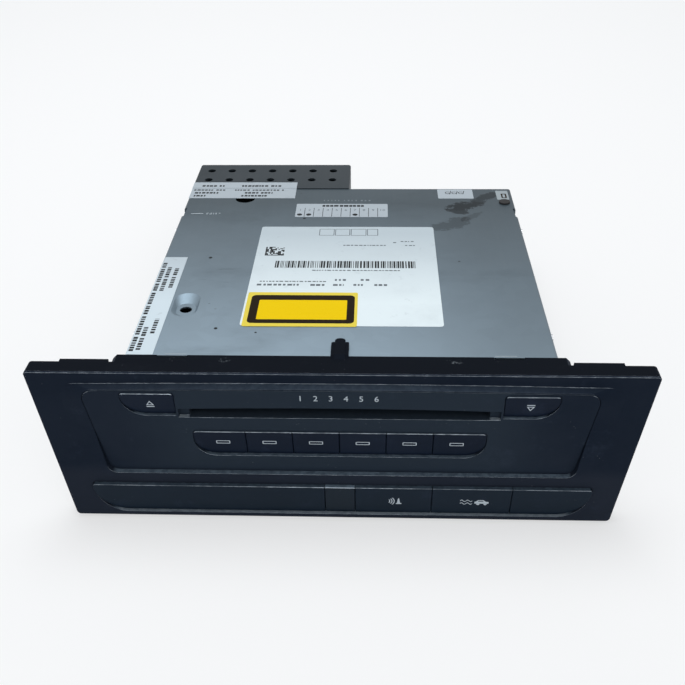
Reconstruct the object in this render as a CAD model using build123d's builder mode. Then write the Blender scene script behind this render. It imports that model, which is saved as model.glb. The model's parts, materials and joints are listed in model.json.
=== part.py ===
from build123d import *
import os
from math import atan2, cos, hypot, pi, radians, sin, sqrt, tan

# Car disc changer that fills one dash slot, in millimetres.
# +X runs along the face, +Y into the dash and +Z up. The origin is at the
# bottom centre of the whole unit. Depths are counted from the flat face.

# Front moulding
bezel_top_width = 253.0
bezel_bottom_width = 232.0
bezel_height = 76.0
bezel_depth = 7.6
bezel_wall = 2.4
bezel_corner = 1.8
bezel_edge = 0.5

# Raised island that carries the disc controls
island_tilt = 6.0
island_cross_drop = 28.0
island_top_drop = 6.5
island_bottom_rise = 24.3
island_half = 105.5
island_arch = 1.0
island_corner = 5.0
island_low_corner = 4.5
island_lead = 10.4
island_crown = 1.9
island_lip = 0.4
island_wall = 1.6
island_root = 0.15
panel_wall = 2.2
panel_skirt = 1.2
panel_gap = 0.2
panel_depth = 7.0
panel_flange = 2.2
panel_flange_wall = 1.4
panel_edge = 0.25

# Key rows: drops are from the top edge of the moulding, rises from its lower edge. The disc
# row keeps its place between the slot and the island's lower end.
key_gap = 0.25
key_edge = 0.35
key_travel = 0.9
key_flange_wall = 1.2
key_flange = 1.0
key_stem = 4.4
key_corner = 0.6
key_tip = 1.6
load_key_inner = 66.0
load_key_outer = 88.2
load_key_top_drop = 8.3
load_key_bottom_drop = 20.5
load_key_corner = 9.8
load_key_proud = 2.9
load_key_sunk = 0.4
disc_key_count = 6
disc_key_pitch = 19.35
disc_row_end = 21.9
disc_row_height = 14.3
disc_row_lift = 0.8
disc_row_corner = 9.0
disc_row_tip = 2.0
disc_key_proud = 0.8
disc_key_sunk = 3.0
switch_half = 106.5
switch_top_rise = 19.1
switch_bottom_rise = 2.4
switch_corner = 14.5
switch_proud = 2.0
switch_sunk = 1.3
switch_travel = 1.4
switch_tip_corner = 1.6
window_left = -6.5
window_width = 12.9
parking_width = 32.8
stability_width = 33.8
switch_body_depth = 20.0
switch_body_wall = 1.5
switch_body_end = 4.0
switch_plug_x = 60.0
switch_plug_width = 24.0
switch_plug_height = 7.0

# Disc slot
slot_width = 122.0
slot_top_drop = 16.9
slot_arch = 1.0
slot_bottom_drop = 21.4
slot_recess_width = 130.4
slot_recess_depth = 1.9
throat_depth = 8.4
throat_wall = 1.2
shutter_wall = 0.8
shutter_pin_radius = 0.9
shutter_ear = 3.2
shutter_ear_wall = 1.4
shutter_ear_root = 1.0
shutter_offset = 1.4
shutter_gap = 0.3
running_fit = 0.05

# Boards behind the face
board_wall = 1.6
control_board_depth = 10.2
tact_size = 6.0
tact_height = 1.8
plunger_radius = 1.5
plunger_height = 0.7
press_clearance = 0.15

# Sheet-metal housing
chassis_width = 178.0
chassis_height = 50.0
chassis_drop = 2.4
chassis_rear = 186.9
cover_front = 16.2
cover_sheet = 0.8
tray_sheet = 1.0
sheet_gap = 0.1
cover_flange = 9.0
tray_front = 12.1
collar_rear = 15.8
collar_wall = 2.2
collar_side_wall = 4.3
collar_bevel = 1.8
collar_drop = 1.9
seat_gap = 0.3
collar_ear_width = 19.9
collar_ear_depth = 1.9
collar_ear_height = 4.0
latch_width = 7.4
latch_length = 9.9
latch_wall = 0.8
latch_ramp = 3.0
latch_tongue_width = 4.4
latch_tongue_length = 12.2
latch_tongue_wall = 1.2
tongue_x = 69.0
tongue_width = 12.5
tongue_bite = 1.6
sheet_bend = 1.2
vent_count = 8
vent_pitch = 9.0
vent_length = 22.0
vent_width = 3.0
notch_depth = 151.0
notch_length = 10.0
notch_bite = 1.6
transit_x = -70.4
transit_depth = 56.5
transit_hole_radius = 2.7
transit_sink = 2.0
dimple_front = 47.4
dimple_rear = 68.2
dimple_width = 11.8
dimple_floor_width = 8.6
dimple_floor_length = 11.0
sealed_hole_x = -57.3
sealed_hole_depth = 173.5
sealed_hole_radius = 5.3
plug_x = 83.9
plug_depth = 168.9
plug_radius = 3.0
plug_lip = 0.8
plug_height = 0.9
plug_reach = 1.2

side_screw_radius = 1.2
side_screw_head = 2.0
side_screw_head_height = 1.2
cover_screw_inset = 22.0
cover_screw_rear_inset = 46.0

# Perforated hood over the rear connectors
hood_rear = 222.0
hood_width = 88.6
hood_sheet = 1.0
hood_side_height = 33.0
hood_lip = 14.0
hood_flange = 10.0
hood_step = 0.4
hood_bend = 1.6
hood_hole_shift = 1.2
hood_hole_radius = 2.25
hood_hole_columns = 7
hood_hole_pitch = 11.85
hood_row_pitch = 13.2
hood_row_margin = 9.7

# Disc handling
disc_radius = 60.0
disc_wall = 1.2
carrier_count = 6
carrier_pitch = 2.8
carrier_wall = 1.0
carrier_lead = 2.2
carrier_rim = 8.0
carrier_ear_wall = 2.2
carrier_gap = 0.1
carrier_start_angle = -34.0
carrier_end_angle = 206.0
stack_depth = 122.0
post_radius = 2.0
post_angle = 20.0
post_offset = 71.0
deck_lift = 8.6
deck_corner = 3.0
deck_wall = 1.2
deck_width = 162.4
deck_front = 17.6
deck_rear = 172.0
guide_gap = 1.6
guide_wall = 1.6
guide_length = 12.0
upright_length = 40.0
upright_setback = 3.2
guide_rib_height = 4.0
guide_rib_wall = 1.2
damper_radius = 4.0
damper_inset_x = 14.0
damper_inset_y = 10.0
roller_depth = 22.5
roller_radius = 4.0
roller_length = 120.0
roller_shaft_radius = 1.5
bush_radius = 3.0
gear_module = 0.8
gear_wall = 3.0
gear_side_gap = 0.4
gear_backlash = 0.12
roller_teeth = 15
idler_teeth = 24
pinion_teeth = 10
idler_angle = -50.0
pinion_angle = 20.0
gear_pin_radius = 1.25
motor_radius = 7.5
motor_length = 20.0
motor_shaft_radius = 1.0
motor_boss_radius = 2.5
motor_bevel = 1.0

# Swing arm with the optical pickup
arm_pivot_x = -72.0
arm_pivot_depth = 44.0
arm_post_radius = 4.0
arm_hub_radius = 7.4
arm_half_width = 12.5
arm_wall = 2.0
arm_drop = 10.85
arm_hub_height = 7.0
arm_post_end = 8.0
arm_window = 12.0
turntable_radius = 14.0
turntable_wall = 1.6
turntable_gap = 0.6
turntable_hub_radius = 7.4
turntable_hub_height = 1.6
spindle_motor_radius = 11.5
spindle_motor_height = 4.8
rod_radius = 1.0
rod_spread = 9.0
rod_lift = 2.6
rod_block = 3.0
rod_offset = 10.6
sled_length = 12.0
sled_width = 24.0
sled_start = 24.5
sled_travel = 33.5
sled_skirt = 1.9
sled_drop = 2.4
sled_nut_width = 6.0
sled_nut_reach = 3.0
lens_radius = 2.6
lens_height = 0.9
screw_radius = 1.25
screw_offset = 13.4

# Main board and connectors
main_board_lift = 2.0
main_board_setback = 12.0
board_edge = 6.0
standoff_front = 24.0
standoff_rear = 40.0
screw_head_height = 1.2
chip_height = 1.6
# share of the half width, share of the length and size of each chip
chip_places = ((-0.25, 0.22, 22.0), (0.28, 0.31, 15.4), (0.43, 0.66, 13.2), (-0.43, 0.6, 17.6))
capacitor_radius = 3.2
capacitor_height = 4.2
capacitor_pitch = 10.0
capacitor_x = 39.0
capacitor_rear = 10.0
cable_width = 26.0
cable_wall = 0.5
cable_lift = 9.0
cable_lap = 6.0
socket_root = 12.0
socket_floor = 2.0
power_x = -56.0
power_width = 40.0
power_height = 17.0
power_depth = 16.0
power_wall = 1.5
power_pin_columns = 8
power_pin_rows = 2
power_pin_pitch = 4.2
power_row_pitch = 6.5
power_pin_size = 0.9
power_pin_sink = 4.0
power_key_width = 8.0
power_key_length = 6.0
optical_x = -15.0
optical_width = 16.0
optical_height = 11.0
optical_depth = 14.0
optical_wall = 1.5
optical_floor = 4.0
optical_ferrule_radius = 2.6
optical_ferrule_bore = 1.4
optical_ferrule_sink = 2.0
optical_pitch = 6.4
standoff_radius = 3.0
board_screw_radius = 1.4

side_slope = (bezel_top_width - bezel_bottom_width) / 2 / bezel_height
side_stretch = hypot(1, side_slope)
island_rise = tan(radians(island_tilt))
island_top = bezel_height - island_top_drop
island_bottom = island_bottom_rise
island_cross = bezel_height - island_cross_drop
chassis_top = bezel_height - chassis_drop
chassis_bottom = chassis_top - chassis_height
tray_width = chassis_width - 2 * (cover_sheet + sheet_gap)
tray_top = chassis_top - cover_sheet
cover_under = chassis_top - cover_sheet
tray_floor = chassis_bottom + tray_sheet
main_board_top = tray_floor + main_board_lift + board_wall
front_proud = load_key_proud
clear_of_face = 2 * front_proud
face_y = (front_proud - hood_rear) / 2

collar_screw_depth = collar_rear - side_screw_head - key_gap
collar_screw_places = [
    (face_y + collar_screw_depth, chassis_bottom + share * chassis_height)
    for share in (0.25, 0.7)
]
cover_screw_places = [
    (face_y + depth, chassis_top - cover_flange / 2)
    for depth in (cover_front + cover_screw_inset, chassis_rear - cover_screw_rear_inset)
]


def front_plane(depth=0.0):
    """Upright plane that faces the driver, at a depth behind the flat face."""
    return Plane(origin=(0, face_y + depth, 0), x_dir=(1, 0, 0), z_dir=(0, -1, 0))


def x_plane(x):
    """Plane across the unit: local x runs into the dash, local y up."""
    return Plane(origin=(x, 0, 0), x_dir=(0, 1, 0), z_dir=(1, 0, 0))


def level(height):
    return Plane.XY.offset(height)


def depth_y(depth):
    return face_y + depth


def leaning_plane(proud, sunk, top, bottom, back=0.0):
    """Plane across the face, proud at the top height and sunk at the bottom one."""
    lean = atan2(proud + sunk, top - bottom)
    plane = Plane(
        origin=(0, face_y - proud, top), x_dir=(1, 0, 0), z_dir=(0, -cos(lean), -sin(lean))
    )
    return plane.offset(-back)


def island_plane(back=0.0):
    proud = (island_top - island_cross) * island_rise
    sunk = (island_cross - island_bottom) * island_rise
    return leaning_plane(proud, sunk, island_top, island_bottom, back)


def half_at(half_at_top, height):
    """Half width at a height of an outline whose sides follow the moulding's sides."""
    return half_at_top - side_slope * (bezel_height - height)


def trapezoid(half_at_top, bottom, top):
    low, high = half_at(half_at_top, bottom), half_at(half_at_top, top)
    Polygon((-low, bottom), (low, bottom), (high, top), (-high, top), align=None)


def box_outline(half, bottom, top, mode=Mode.ADD):
    Polygon((-half, bottom), (half, bottom), (half, top), (-half, top), align=None, mode=mode)


def island_outline(grow, top, bottom, corner, base=0.0, stretch=1.0):
    """Arched outline with sloping sides, drawn in height above base times stretch."""
    shoulder = top - island_arch
    low = half_at(island_half, bottom) + grow
    high = half_at(island_half, shoulder) + grow
    y_low, y_high, y_top = [(z - base) * stretch for z in (bottom, shoulder, top)]
    with BuildLine() as edge:
        Polyline((-high, y_high), (-low, y_low), (low, y_low), (high, y_high))
        ThreePointArc((high, y_high), (0, y_top), (-high, y_high))
    make_face(edge.edges())
    fillet(vertices().sort_by(Axis.Y)[-2:], corner)


def island_opening(shrink=0.0):
    island_outline(
        -shrink * side_stretch, island_top - shrink, island_bottom + shrink,
        island_corner - shrink,
    )
    fillet(vertices().sort_by(Axis.Y)[:2], island_low_corner - shrink)


def row_outline(left, right, bottom, top, low_left, low_right, tip, shrink, mode):
    """Row of keys: straight top edge and large round lower corners."""
    corners = [
        (left + shrink, top - shrink), (left + shrink, bottom + shrink),
        (right - shrink, bottom + shrink), (right - shrink, top - shrink),
    ]
    radii = [radius - shrink for radius in (tip, low_left, low_right, tip)]
    with BuildLine() as edge:
        FilletPolyline(*corners, radius=radii, close=True)
    make_face(edge.edges(), mode=mode)


class KeyRow:
    """One opening in the face with its leaning key faces."""

    def __init__(self, left, right, bottom, top, corners, proud, sunk, tip):
        self.left, self.right = left, right
        self.bottom, self.top = bottom, top
        self.corners, self.tip = corners, tip
        self.proud, self.sunk = proud, sunk
        self.middle = (self.top + self.bottom) / 2

    def outline(self, shrink=0.0, mode=Mode.ADD):
        row_outline(
            self.left, self.right, self.bottom, self.top, *self.corners, self.tip, shrink, mode
        )

    def face(self, back=0.0):
        return leaning_plane(self.proud, self.sunk, self.top, self.bottom, back)


slot_bottom = bezel_height - slot_bottom_drop
slot_top = bezel_height - slot_top_drop
slot_middle = (slot_bottom + slot_top) / 2
play_level = slot_middle
arm_level = play_level - arm_drop
load_key_top = bezel_height - load_key_top_drop
load_key_bottom = bezel_height - load_key_bottom_drop
disc_row_half = disc_key_pitch * (disc_key_count - 2) / 2 + disc_row_end
disc_row_middle = (slot_bottom + island_bottom) / 2 + disc_row_lift
eject_row = KeyRow(
    -load_key_outer, -load_key_inner, load_key_bottom, load_key_top,
    (load_key_corner, key_corner), load_key_proud, load_key_sunk, key_tip,
)
load_row = KeyRow(
    load_key_inner, load_key_outer, load_key_bottom, load_key_top,
    (key_corner, load_key_corner), load_key_proud, load_key_sunk, key_tip,
)
disc_row = KeyRow(
    -disc_row_half, disc_row_half, disc_row_middle - disc_row_height / 2,
    disc_row_middle + disc_row_height / 2, (disc_row_corner, disc_row_corner),
    disc_key_proud, disc_key_sunk, disc_row_tip,
)
switch_row = KeyRow(
    -switch_half, switch_half, switch_bottom_rise, switch_top_rise,
    (switch_corner, switch_corner), switch_proud, switch_sunk, switch_tip_corner,
)
pieces = {}


def slot_outline(width):
    """Opening for a disc, with an arched upper edge."""
    half = width / 2
    with BuildLine() as edge:
        Polyline((-half, slot_top), (-half, slot_bottom), (half, slot_bottom), (half, slot_top))
        ThreePointArc((half, slot_top), (0, slot_top + slot_arch), (-half, slot_top))
    make_face(edge.edges())


# Front moulding: trapezoid shell, raised island surround and collar for the housing
with BuildPart() as island_surround:
    with BuildSketch(front_plane(island_root)):
        island_outline(
            island_lead, island_top + island_crown, island_cross + island_lip,
            island_corner + island_crown,
        )
    with BuildSketch(island_plane()):
        island_outline(
            island_lip, island_top + island_lip, island_cross + island_lip,
            island_corner + island_lip, base=island_top, stretch=1 / cos(radians(island_tilt)),
        )
    loft(ruled=True)

collar_inner = chassis_width / 2 + seat_gap
collar_half = collar_inner + collar_side_wall
collar_start = panel_depth + seat_gap
collar_top = bezel_height - collar_drop
collar_bottom = chassis_bottom - seat_gap - collar_wall
collar_ear_x = collar_half + collar_ear_width / 2
collar_ear_level = bezel_height - collar_ear_height / 2
latch_seat = chassis_top + seat_gap


def latch_piece(width, length, wall, corner):
    """Tongue that runs up from the collar and back over the cover."""
    with BuildPart() as tongue:
        with BuildSketch(x_plane(-width / 2)):
            Polygon(
                (depth_y(collar_rear - latch_ramp), collar_top - seat_gap),
                (depth_y(collar_rear), latch_seat + wall),
                (depth_y(collar_rear + length), latch_seat + wall),
                (depth_y(collar_rear + length), latch_seat),
                (depth_y(collar_rear - seat_gap), latch_seat),
                (depth_y(collar_rear - seat_gap), collar_top - 2 * seat_gap),
                align=None,
            )
        extrude(amount=width)
        fillet(tongue.edges().filter_by(Axis.Z).sort_by(Axis.Y)[-2:], corner)
    return tongue


latch_rail = latch_piece(latch_width, latch_length, latch_wall, latch_wall)
latch_tongue = latch_piece(
    latch_tongue_width, latch_tongue_length, latch_tongue_wall, latch_tongue_width / 2 - seat_gap
)

with BuildPart() as front_bezel:
    with BuildSketch(front_plane()):
        trapezoid(bezel_top_width / 2, 0, bezel_height)
        fillet(vertices(), bezel_corner)
    extrude(amount=-bezel_depth)
    chamfer(faces().filter_by(lambda f: f.normal_at().Y < -0.9).edges(), bezel_edge)
    with BuildSketch(front_plane(bezel_wall)):
        trapezoid(
            bezel_top_width / 2 - bezel_wall * side_stretch, bezel_wall,
            bezel_height - bezel_wall,
        )
    extrude(amount=-bezel_depth, mode=Mode.SUBTRACT)
    add(island_surround.part)
    with BuildSketch(front_plane(collar_start)):
        box_outline(collar_half, collar_bottom, collar_top)
        chamfer(vertices().group_by(Axis.Y)[-1], collar_bevel)
        box_outline(collar_inner, collar_bottom + collar_wall, collar_top - collar_wall, Mode.SUBTRACT)
    extrude(amount=-(collar_rear - collar_start))
    with BuildSketch(front_plane(bezel_wall)):
        box_outline(collar_half, collar_top - collar_wall, collar_top)
        chamfer(vertices().group_by(Axis.Y)[-1], collar_bevel)
        box_outline(collar_half, collar_bottom, collar_bottom + collar_wall)
    extrude(amount=-(collar_rear - bezel_wall))
    with BuildSketch(front_plane(bezel_depth - bezel_wall)):
        with Locations((-collar_ear_x, collar_ear_level), (collar_ear_x, collar_ear_level)):
            Rectangle(collar_ear_width, collar_ear_height)
    extrude(amount=-(bezel_wall + collar_ear_depth))
    add(latch_rail.part)
    add(latch_tongue.part)
    with BuildSketch(level(collar_top - collar_wall)):
        with Locations((-tongue_x, depth_y(collar_rear)), (tongue_x, depth_y(collar_rear))):
            Rectangle(tongue_width, 2 * tongue_bite)
    extrude(amount=collar_wall, mode=Mode.SUBTRACT)
    with BuildSketch(front_plane(-clear_of_face)):
        island_opening()
        switch_row.outline()
    extrude(amount=-(clear_of_face + bezel_wall + island_wall), mode=Mode.SUBTRACT)
    with BuildSketch(x_plane(-collar_half)):
        with Locations(*collar_screw_places):
            Circle(side_screw_radius + running_fit)
    extrude(amount=2 * collar_half, mode=Mode.SUBTRACT)
pieces["front_bezel"] = front_bezel

# Control panel: leaning dished plate with key openings and the disc throat
flange_depth = bezel_wall + panel_gap
shutter_axis_z = slot_top + slot_arch + throat_wall + panel_gap
shutter_axis_depth = throat_depth + shutter_offset
shutter_ear_x = slot_width / 2 + throat_wall + shutter_gap
with BuildPart() as panel_pocket:
    with BuildSketch(front_plane(-clear_of_face)):
        island_opening(panel_gap + panel_skirt)
    extrude(amount=-(2 * clear_of_face + panel_depth))
    split(bisect_by=island_plane(panel_wall), keep=Keep.BOTTOM)

with BuildPart() as control_panel:
    with BuildSketch(front_plane(-clear_of_face)):
        island_opening(panel_gap)
    extrude(amount=-(clear_of_face + panel_depth))
    split(bisect_by=island_plane(), keep=Keep.BOTTOM)
    front_edges = faces().filter_by(lambda f: f.normal_at().Y < -0.9).edges()
    fillet(front_edges, panel_edge)
    with BuildSketch(front_plane(flange_depth)):
        island_outline(
            panel_flange, island_top + panel_flange / 2, island_bottom - panel_flange / 4,
            island_corner + panel_flange / 2,
        )
    extrude(amount=-panel_flange_wall)
    add(panel_pocket.part, mode=Mode.SUBTRACT)
    with BuildSketch(front_plane()):
        box_outline(
            slot_width / 2 + throat_wall, slot_bottom - throat_wall,
            slot_top + slot_arch + throat_wall,
        )
    extrude(amount=-throat_depth)
    with BuildSketch(front_plane(-clear_of_face)):
        slot_outline(slot_width)
    extrude(amount=-(clear_of_face + throat_depth), mode=Mode.SUBTRACT)
    with BuildSketch(front_plane(-clear_of_face)):
        slot_outline(slot_recess_width)
    recess_floor = slot_recess_depth - (slot_middle - island_cross) * island_rise
    extrude(amount=-(clear_of_face + recess_floor), mode=Mode.SUBTRACT)
    with BuildSketch(front_plane(-clear_of_face)):
        for row in (eject_row, load_row, disc_row):
            row.outline()
    extrude(amount=-(clear_of_face + panel_depth), mode=Mode.SUBTRACT)
    # ears that hold the pins of the dust shutter
    with BuildSketch(x_plane(shutter_ear_x)):
        with Locations((depth_y(throat_depth + shutter_ear / 2 - shutter_ear_root), shutter_axis_z)):
            Rectangle(shutter_ear + 2 * shutter_ear_root, shutter_ear)
        with Locations((depth_y(shutter_axis_depth), shutter_axis_z)):
            Circle(shutter_pin_radius + running_fit, mode=Mode.SUBTRACT)
    extrude(amount=-shutter_ear_wall)
    mirror(about=Plane.YZ)
pieces["control_panel"] = control_panel


def key_cap(row, left, right, back_depth):
    """Key body behind the row's leaning face, cut to its share of the row."""
    with BuildPart() as cap:
        with BuildSketch(front_plane(-clear_of_face)):
            row.outline(key_gap)
            with BuildLine() as share:
                Polyline(
                    (left, row.bottom), (right, row.bottom), (right, row.top), (left, row.top),
                    close=True,
                )
            make_face(share.edges(), mode=Mode.INTERSECT)
        extrude(amount=-(clear_of_face + back_depth))
        split(bisect_by=row.face(), keep=Keep.BOTTOM)
        fillet(cap.faces().filter_by(lambda f: f.normal_at().Y < -0.9).edges(), key_edge)
    return cap


# Keys of the island: each has a retaining flange behind the panel and a stem
tact_top_depth = control_board_depth - tact_height - plunger_height
island_key_back = tact_top_depth - key_travel - press_clearance


def island_key(row, left, right, lap_top):
    cap = key_cap(row, left, right, row.sunk + key_flange_wall)
    foot_left = left + (row.corners[0] - key_gap) * (left < row.left + 2 * key_gap)
    foot_right = right - (row.corners[1] - key_gap) * (right > row.right - 2 * key_gap)
    with BuildPart() as foot:
        with BuildSketch(front_plane(-row.proud)):
            Polygon(
                (foot_left, row.bottom - key_flange), (foot_right, row.bottom - key_flange),
                (foot_right, row.top + lap_top), (foot_left, row.top + lap_top), align=None,
            )
        extrude(amount=-(row.proud + panel_depth))
        flange_front = panel_wall + press_clearance
        split(bisect_by=island_plane(flange_front), keep=Keep.BOTTOM)
        split(bisect_by=island_plane(flange_front + key_flange_wall), keep=Keep.TOP)
    with BuildPart() as key:
        add(cap.part)
        add(foot.part)
        with BuildSketch(front_plane(row.sunk)):
            with Locations(((left + right) / 2, row.middle)):
                Rectangle(key_stem, key_stem)
        extrude(amount=-(island_key_back - row.sunk))
    return key


for label, row in (("eject_button", eject_row), ("load_button", load_row)):
    pieces[label] = island_key(row, row.left + key_gap, row.right - key_gap, -key_gap)
for index in range(disc_key_count):
    start = (index - disc_key_count / 2) * disc_key_pitch
    left = disc_row.left + key_gap if index == 0 else start + key_gap / 2
    last = index == disc_key_count - 1
    right = disc_row.right - key_gap if last else start + disc_key_pitch - key_gap / 2
    pieces[f"disc_button_{index + 1}"] = island_key(disc_row, left, right, key_flange)


# Lower switch row: fixed blanks and window, two sprung keys, one housing behind
window_right = window_left + window_width
parking_right = window_right + parking_width
stability_right = parking_right + stability_width
switch_bounds = {
    "switch_blank_left": (switch_row.left + key_gap, window_left - key_gap / 2),
    "indicator_window": (window_left + key_gap / 2, window_right - key_gap / 2),
    "parking_button": (window_right + key_gap / 2, parking_right - key_gap / 2),
    "stability_button": (parking_right + key_gap / 2, stability_right - key_gap / 2),
    "switch_blank_right": (stability_right + key_gap / 2, switch_row.right - key_gap),
}
switch_body_front = bezel_wall + panel_gap
switch_body_rear = switch_body_front + switch_body_depth
switch_board_depth = switch_body_rear - switch_body_wall - seat_gap - board_wall
switch_tact_depth = switch_board_depth - tact_height - plunger_height
fixed_back = switch_body_front + switch_body_end
switch_key_back = switch_tact_depth - switch_travel - press_clearance

for label, (left, right) in switch_bounds.items():
    moving = label.endswith("button")
    cap_back = switch_sunk + 2 * key_flange_wall if moving else fixed_back
    cap = key_cap(switch_row, left, right, cap_back)
    with BuildPart() as switch_piece:
        add(cap.part)
        if moving:
            with BuildSketch(front_plane(switch_sunk)):
                with Locations(((left + right) / 2, switch_row.middle)):
                    Rectangle(key_stem, key_stem)
            extrude(amount=-(switch_key_back - switch_sunk))
    pieces[label] = switch_piece

switch_body_bottom = bezel_wall + seat_gap / 2
switch_body_top = collar_bottom - seat_gap
switch_body_middle = (switch_body_bottom + switch_body_top) / 2
switch_body_half = half_at(bezel_top_width / 2, switch_body_bottom) - bezel_wall - panel_flange
blank_rib_x = switch_half - switch_corner / 2
rib_places = [
    (x, switch_body_middle)
    for x in (-blank_rib_x, window_left, window_right, parking_right, stability_right, blank_rib_x)
]


def switch_body_ring():
    inset = switch_body_wall
    box_outline(switch_body_half, switch_body_bottom, switch_body_top)
    box_outline(
        switch_body_half - inset, switch_body_bottom + inset, switch_body_top - inset,
        Mode.SUBTRACT,
    )


with BuildPart() as switch_housing:
    with BuildSketch(front_plane(switch_body_front)):
        box_outline(switch_body_half, switch_body_bottom, switch_body_top)
        switch_row.outline(mode=Mode.SUBTRACT)
    extrude(amount=-switch_body_end)
    with BuildSketch(front_plane(fixed_back)):
        switch_body_ring()
        with Locations(*rib_places):
            Rectangle(switch_body_wall, switch_body_top - switch_body_bottom - switch_body_wall)
    extrude(amount=-(switch_board_depth - fixed_back))
    with BuildSketch(front_plane(switch_board_depth)):
        switch_body_ring()
    extrude(amount=-(board_wall + seat_gap))
    with BuildSketch(front_plane(switch_body_rear - switch_body_wall)):
        box_outline(switch_body_half, switch_body_bottom, switch_body_top)
        with Locations((switch_plug_x, switch_body_middle)):
            Rectangle(switch_plug_width, switch_plug_height, mode=Mode.SUBTRACT)
    extrude(amount=-switch_body_wall)
pieces["switch_housing"] = switch_housing


def button_middle(label):
    left, right = switch_bounds[label]
    return (left + right) / 2


def tact_switches(places, board_depth):
    """Small push switches on a board's front side, one under each key's stem."""
    with BuildPart() as tacts:
        with BuildSketch(front_plane(board_depth)):
            with Locations(*places):
                Rectangle(tact_size, tact_size)
        extrude(amount=tact_height)
        with BuildSketch(front_plane(board_depth - tact_height)):
            with Locations(*places):
                Circle(plunger_radius)
        extrude(amount=plunger_height)
    return tacts


with BuildPart() as switch_board:
    with BuildSketch(front_plane(switch_board_depth)):
        rest = switch_body_wall + seat_gap
        box_outline(switch_body_half - rest, switch_body_bottom + rest, switch_body_top - rest)
    extrude(amount=-board_wall)
pieces["switch_board"] = switch_board
switch_places = [
    (button_middle(label), switch_row.middle) for label in ("parking_button", "stability_button")
]
pieces["switch_tacts"] = tact_switches(switch_places, switch_board_depth)

# Control board behind the panel, open for the disc throat
board_half = collar_inner - seat_gap
board_bottom = collar_bottom + collar_wall + seat_gap
board_top = collar_top - collar_wall - seat_gap
throat_half = slot_width / 2 + throat_wall
with BuildPart() as control_board:
    with BuildSketch(front_plane(control_board_depth)):
        box_outline(board_half, board_bottom, board_top)
        box_outline(
            throat_half + 2 * throat_wall, slot_bottom - 2 * throat_wall, board_top, Mode.SUBTRACT
        )
    extrude(amount=-board_wall)
pieces["control_board"] = control_board
control_places = [
    ((row.left + row.right) / 2, row.middle) for row in (eject_row, load_row)
] + [
    ((index - (disc_key_count - 1) / 2) * disc_key_pitch, disc_row.middle)
    for index in range(1, disc_key_count - 1)
] + [
    (side * ((disc_key_count / 2 - 1) * disc_key_pitch + disc_row_half) / 2, disc_row.middle)
    for side in (-1, 1)
]
pieces["control_tacts"] = tact_switches(control_places, control_board_depth)

# Dust shutter behind the throat, hung on two pins
shutter_reach = shutter_axis_z - slot_bottom - panel_gap
with BuildPart() as slot_shutter:
    with BuildSketch(x_plane(-slot_width / 2)):
        with Locations((depth_y(shutter_axis_depth), shutter_axis_z)):
            Circle(shutter_pin_radius)
        with Locations((depth_y(shutter_axis_depth), shutter_axis_z - shutter_reach / 2)):
            Rectangle(shutter_wall, shutter_reach)
    extrude(amount=slot_width)
    with BuildSketch(x_plane(-shutter_ear_x)):
        with Locations((depth_y(shutter_axis_depth), shutter_axis_z)):
            Circle(shutter_pin_radius)
    extrude(amount=2 * shutter_ear_x)
pieces["slot_shutter"] = slot_shutter

# Sheet-metal tray, cover and hood
main_board_half = deck_width / 2 - board_edge / 3
main_board_front = tray_front + main_board_setback
main_board_rear = chassis_rear - tray_sheet - seat_gap
standoff_places = [
    (side * (main_board_half - board_edge), depth_y(depth))
    for side in (-1, 1)
    for depth in (main_board_front + standoff_front, main_board_rear - standoff_rear)
]

with BuildPart() as chassis_tray:
    with BuildSketch(front_plane(tray_front)):
        box_outline(tray_width / 2, chassis_bottom, tray_top)
        box_outline(tray_width / 2 - tray_sheet, tray_floor, tray_top, Mode.SUBTRACT)
    extrude(amount=-(chassis_rear - tray_front))
    with BuildSketch(front_plane(chassis_rear - tray_sheet)):
        box_outline(tray_width / 2, chassis_bottom, tray_top)
        with Locations((power_x, main_board_top + power_height / 2)):
            Rectangle(power_width + 2 * seat_gap, power_height + 2 * seat_gap, mode=Mode.SUBTRACT)
        with Locations((optical_x, main_board_top + optical_height / 2)):
            Rectangle(optical_width + 2 * seat_gap, optical_height + 2 * seat_gap, mode=Mode.SUBTRACT)
        with Locations((chassis_width / 4, (chassis_bottom + chassis_top) / 2)):
            with GridLocations(vent_pitch, 0, vent_count, 1):
                SlotOverall(vent_length, vent_width, rotation=90, mode=Mode.SUBTRACT)
    extrude(amount=-tray_sheet)
    # low front edge passes under the collar of the moulding
    with BuildSketch(level(collar_top - collar_wall - seat_gap)):
        with Locations((0, depth_y((tray_front + cover_front) / 2))):
            Rectangle(chassis_width, cover_front - tray_front)
    extrude(amount=chassis_height, mode=Mode.SUBTRACT)
    with BuildSketch(level(tray_floor)):
        with Locations(*standoff_places):
            Circle(standoff_radius)
    extrude(amount=main_board_lift)
    with BuildSketch(x_plane(-chassis_width / 2)):
        with Locations(*collar_screw_places, *cover_screw_places):
            Circle(side_screw_radius + running_fit)
    extrude(amount=chassis_width, mode=Mode.SUBTRACT)
pieces["chassis_tray"] = chassis_tray

cover_length = chassis_rear - cover_front


def pressed_dimple(grow):
    """Oblong dimple that runs down to the transit hole, grown for its outer side."""
    with BuildPart() as dimple:
        with BuildSketch(level(chassis_top)):
            with Locations((transit_x, depth_y((dimple_front + dimple_rear) / 2))):
                SlotOverall(
                    dimple_rear - dimple_front + 2 * grow, dimple_width + 2 * grow, rotation=90
                )
        with BuildSketch(level(chassis_top - transit_sink - grow)):
            with Locations((transit_x, depth_y(transit_depth))):
                SlotOverall(
                    dimple_floor_length + 2 * grow, dimple_floor_width + 2 * grow, rotation=90
                )
        loft()
    return dimple


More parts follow.
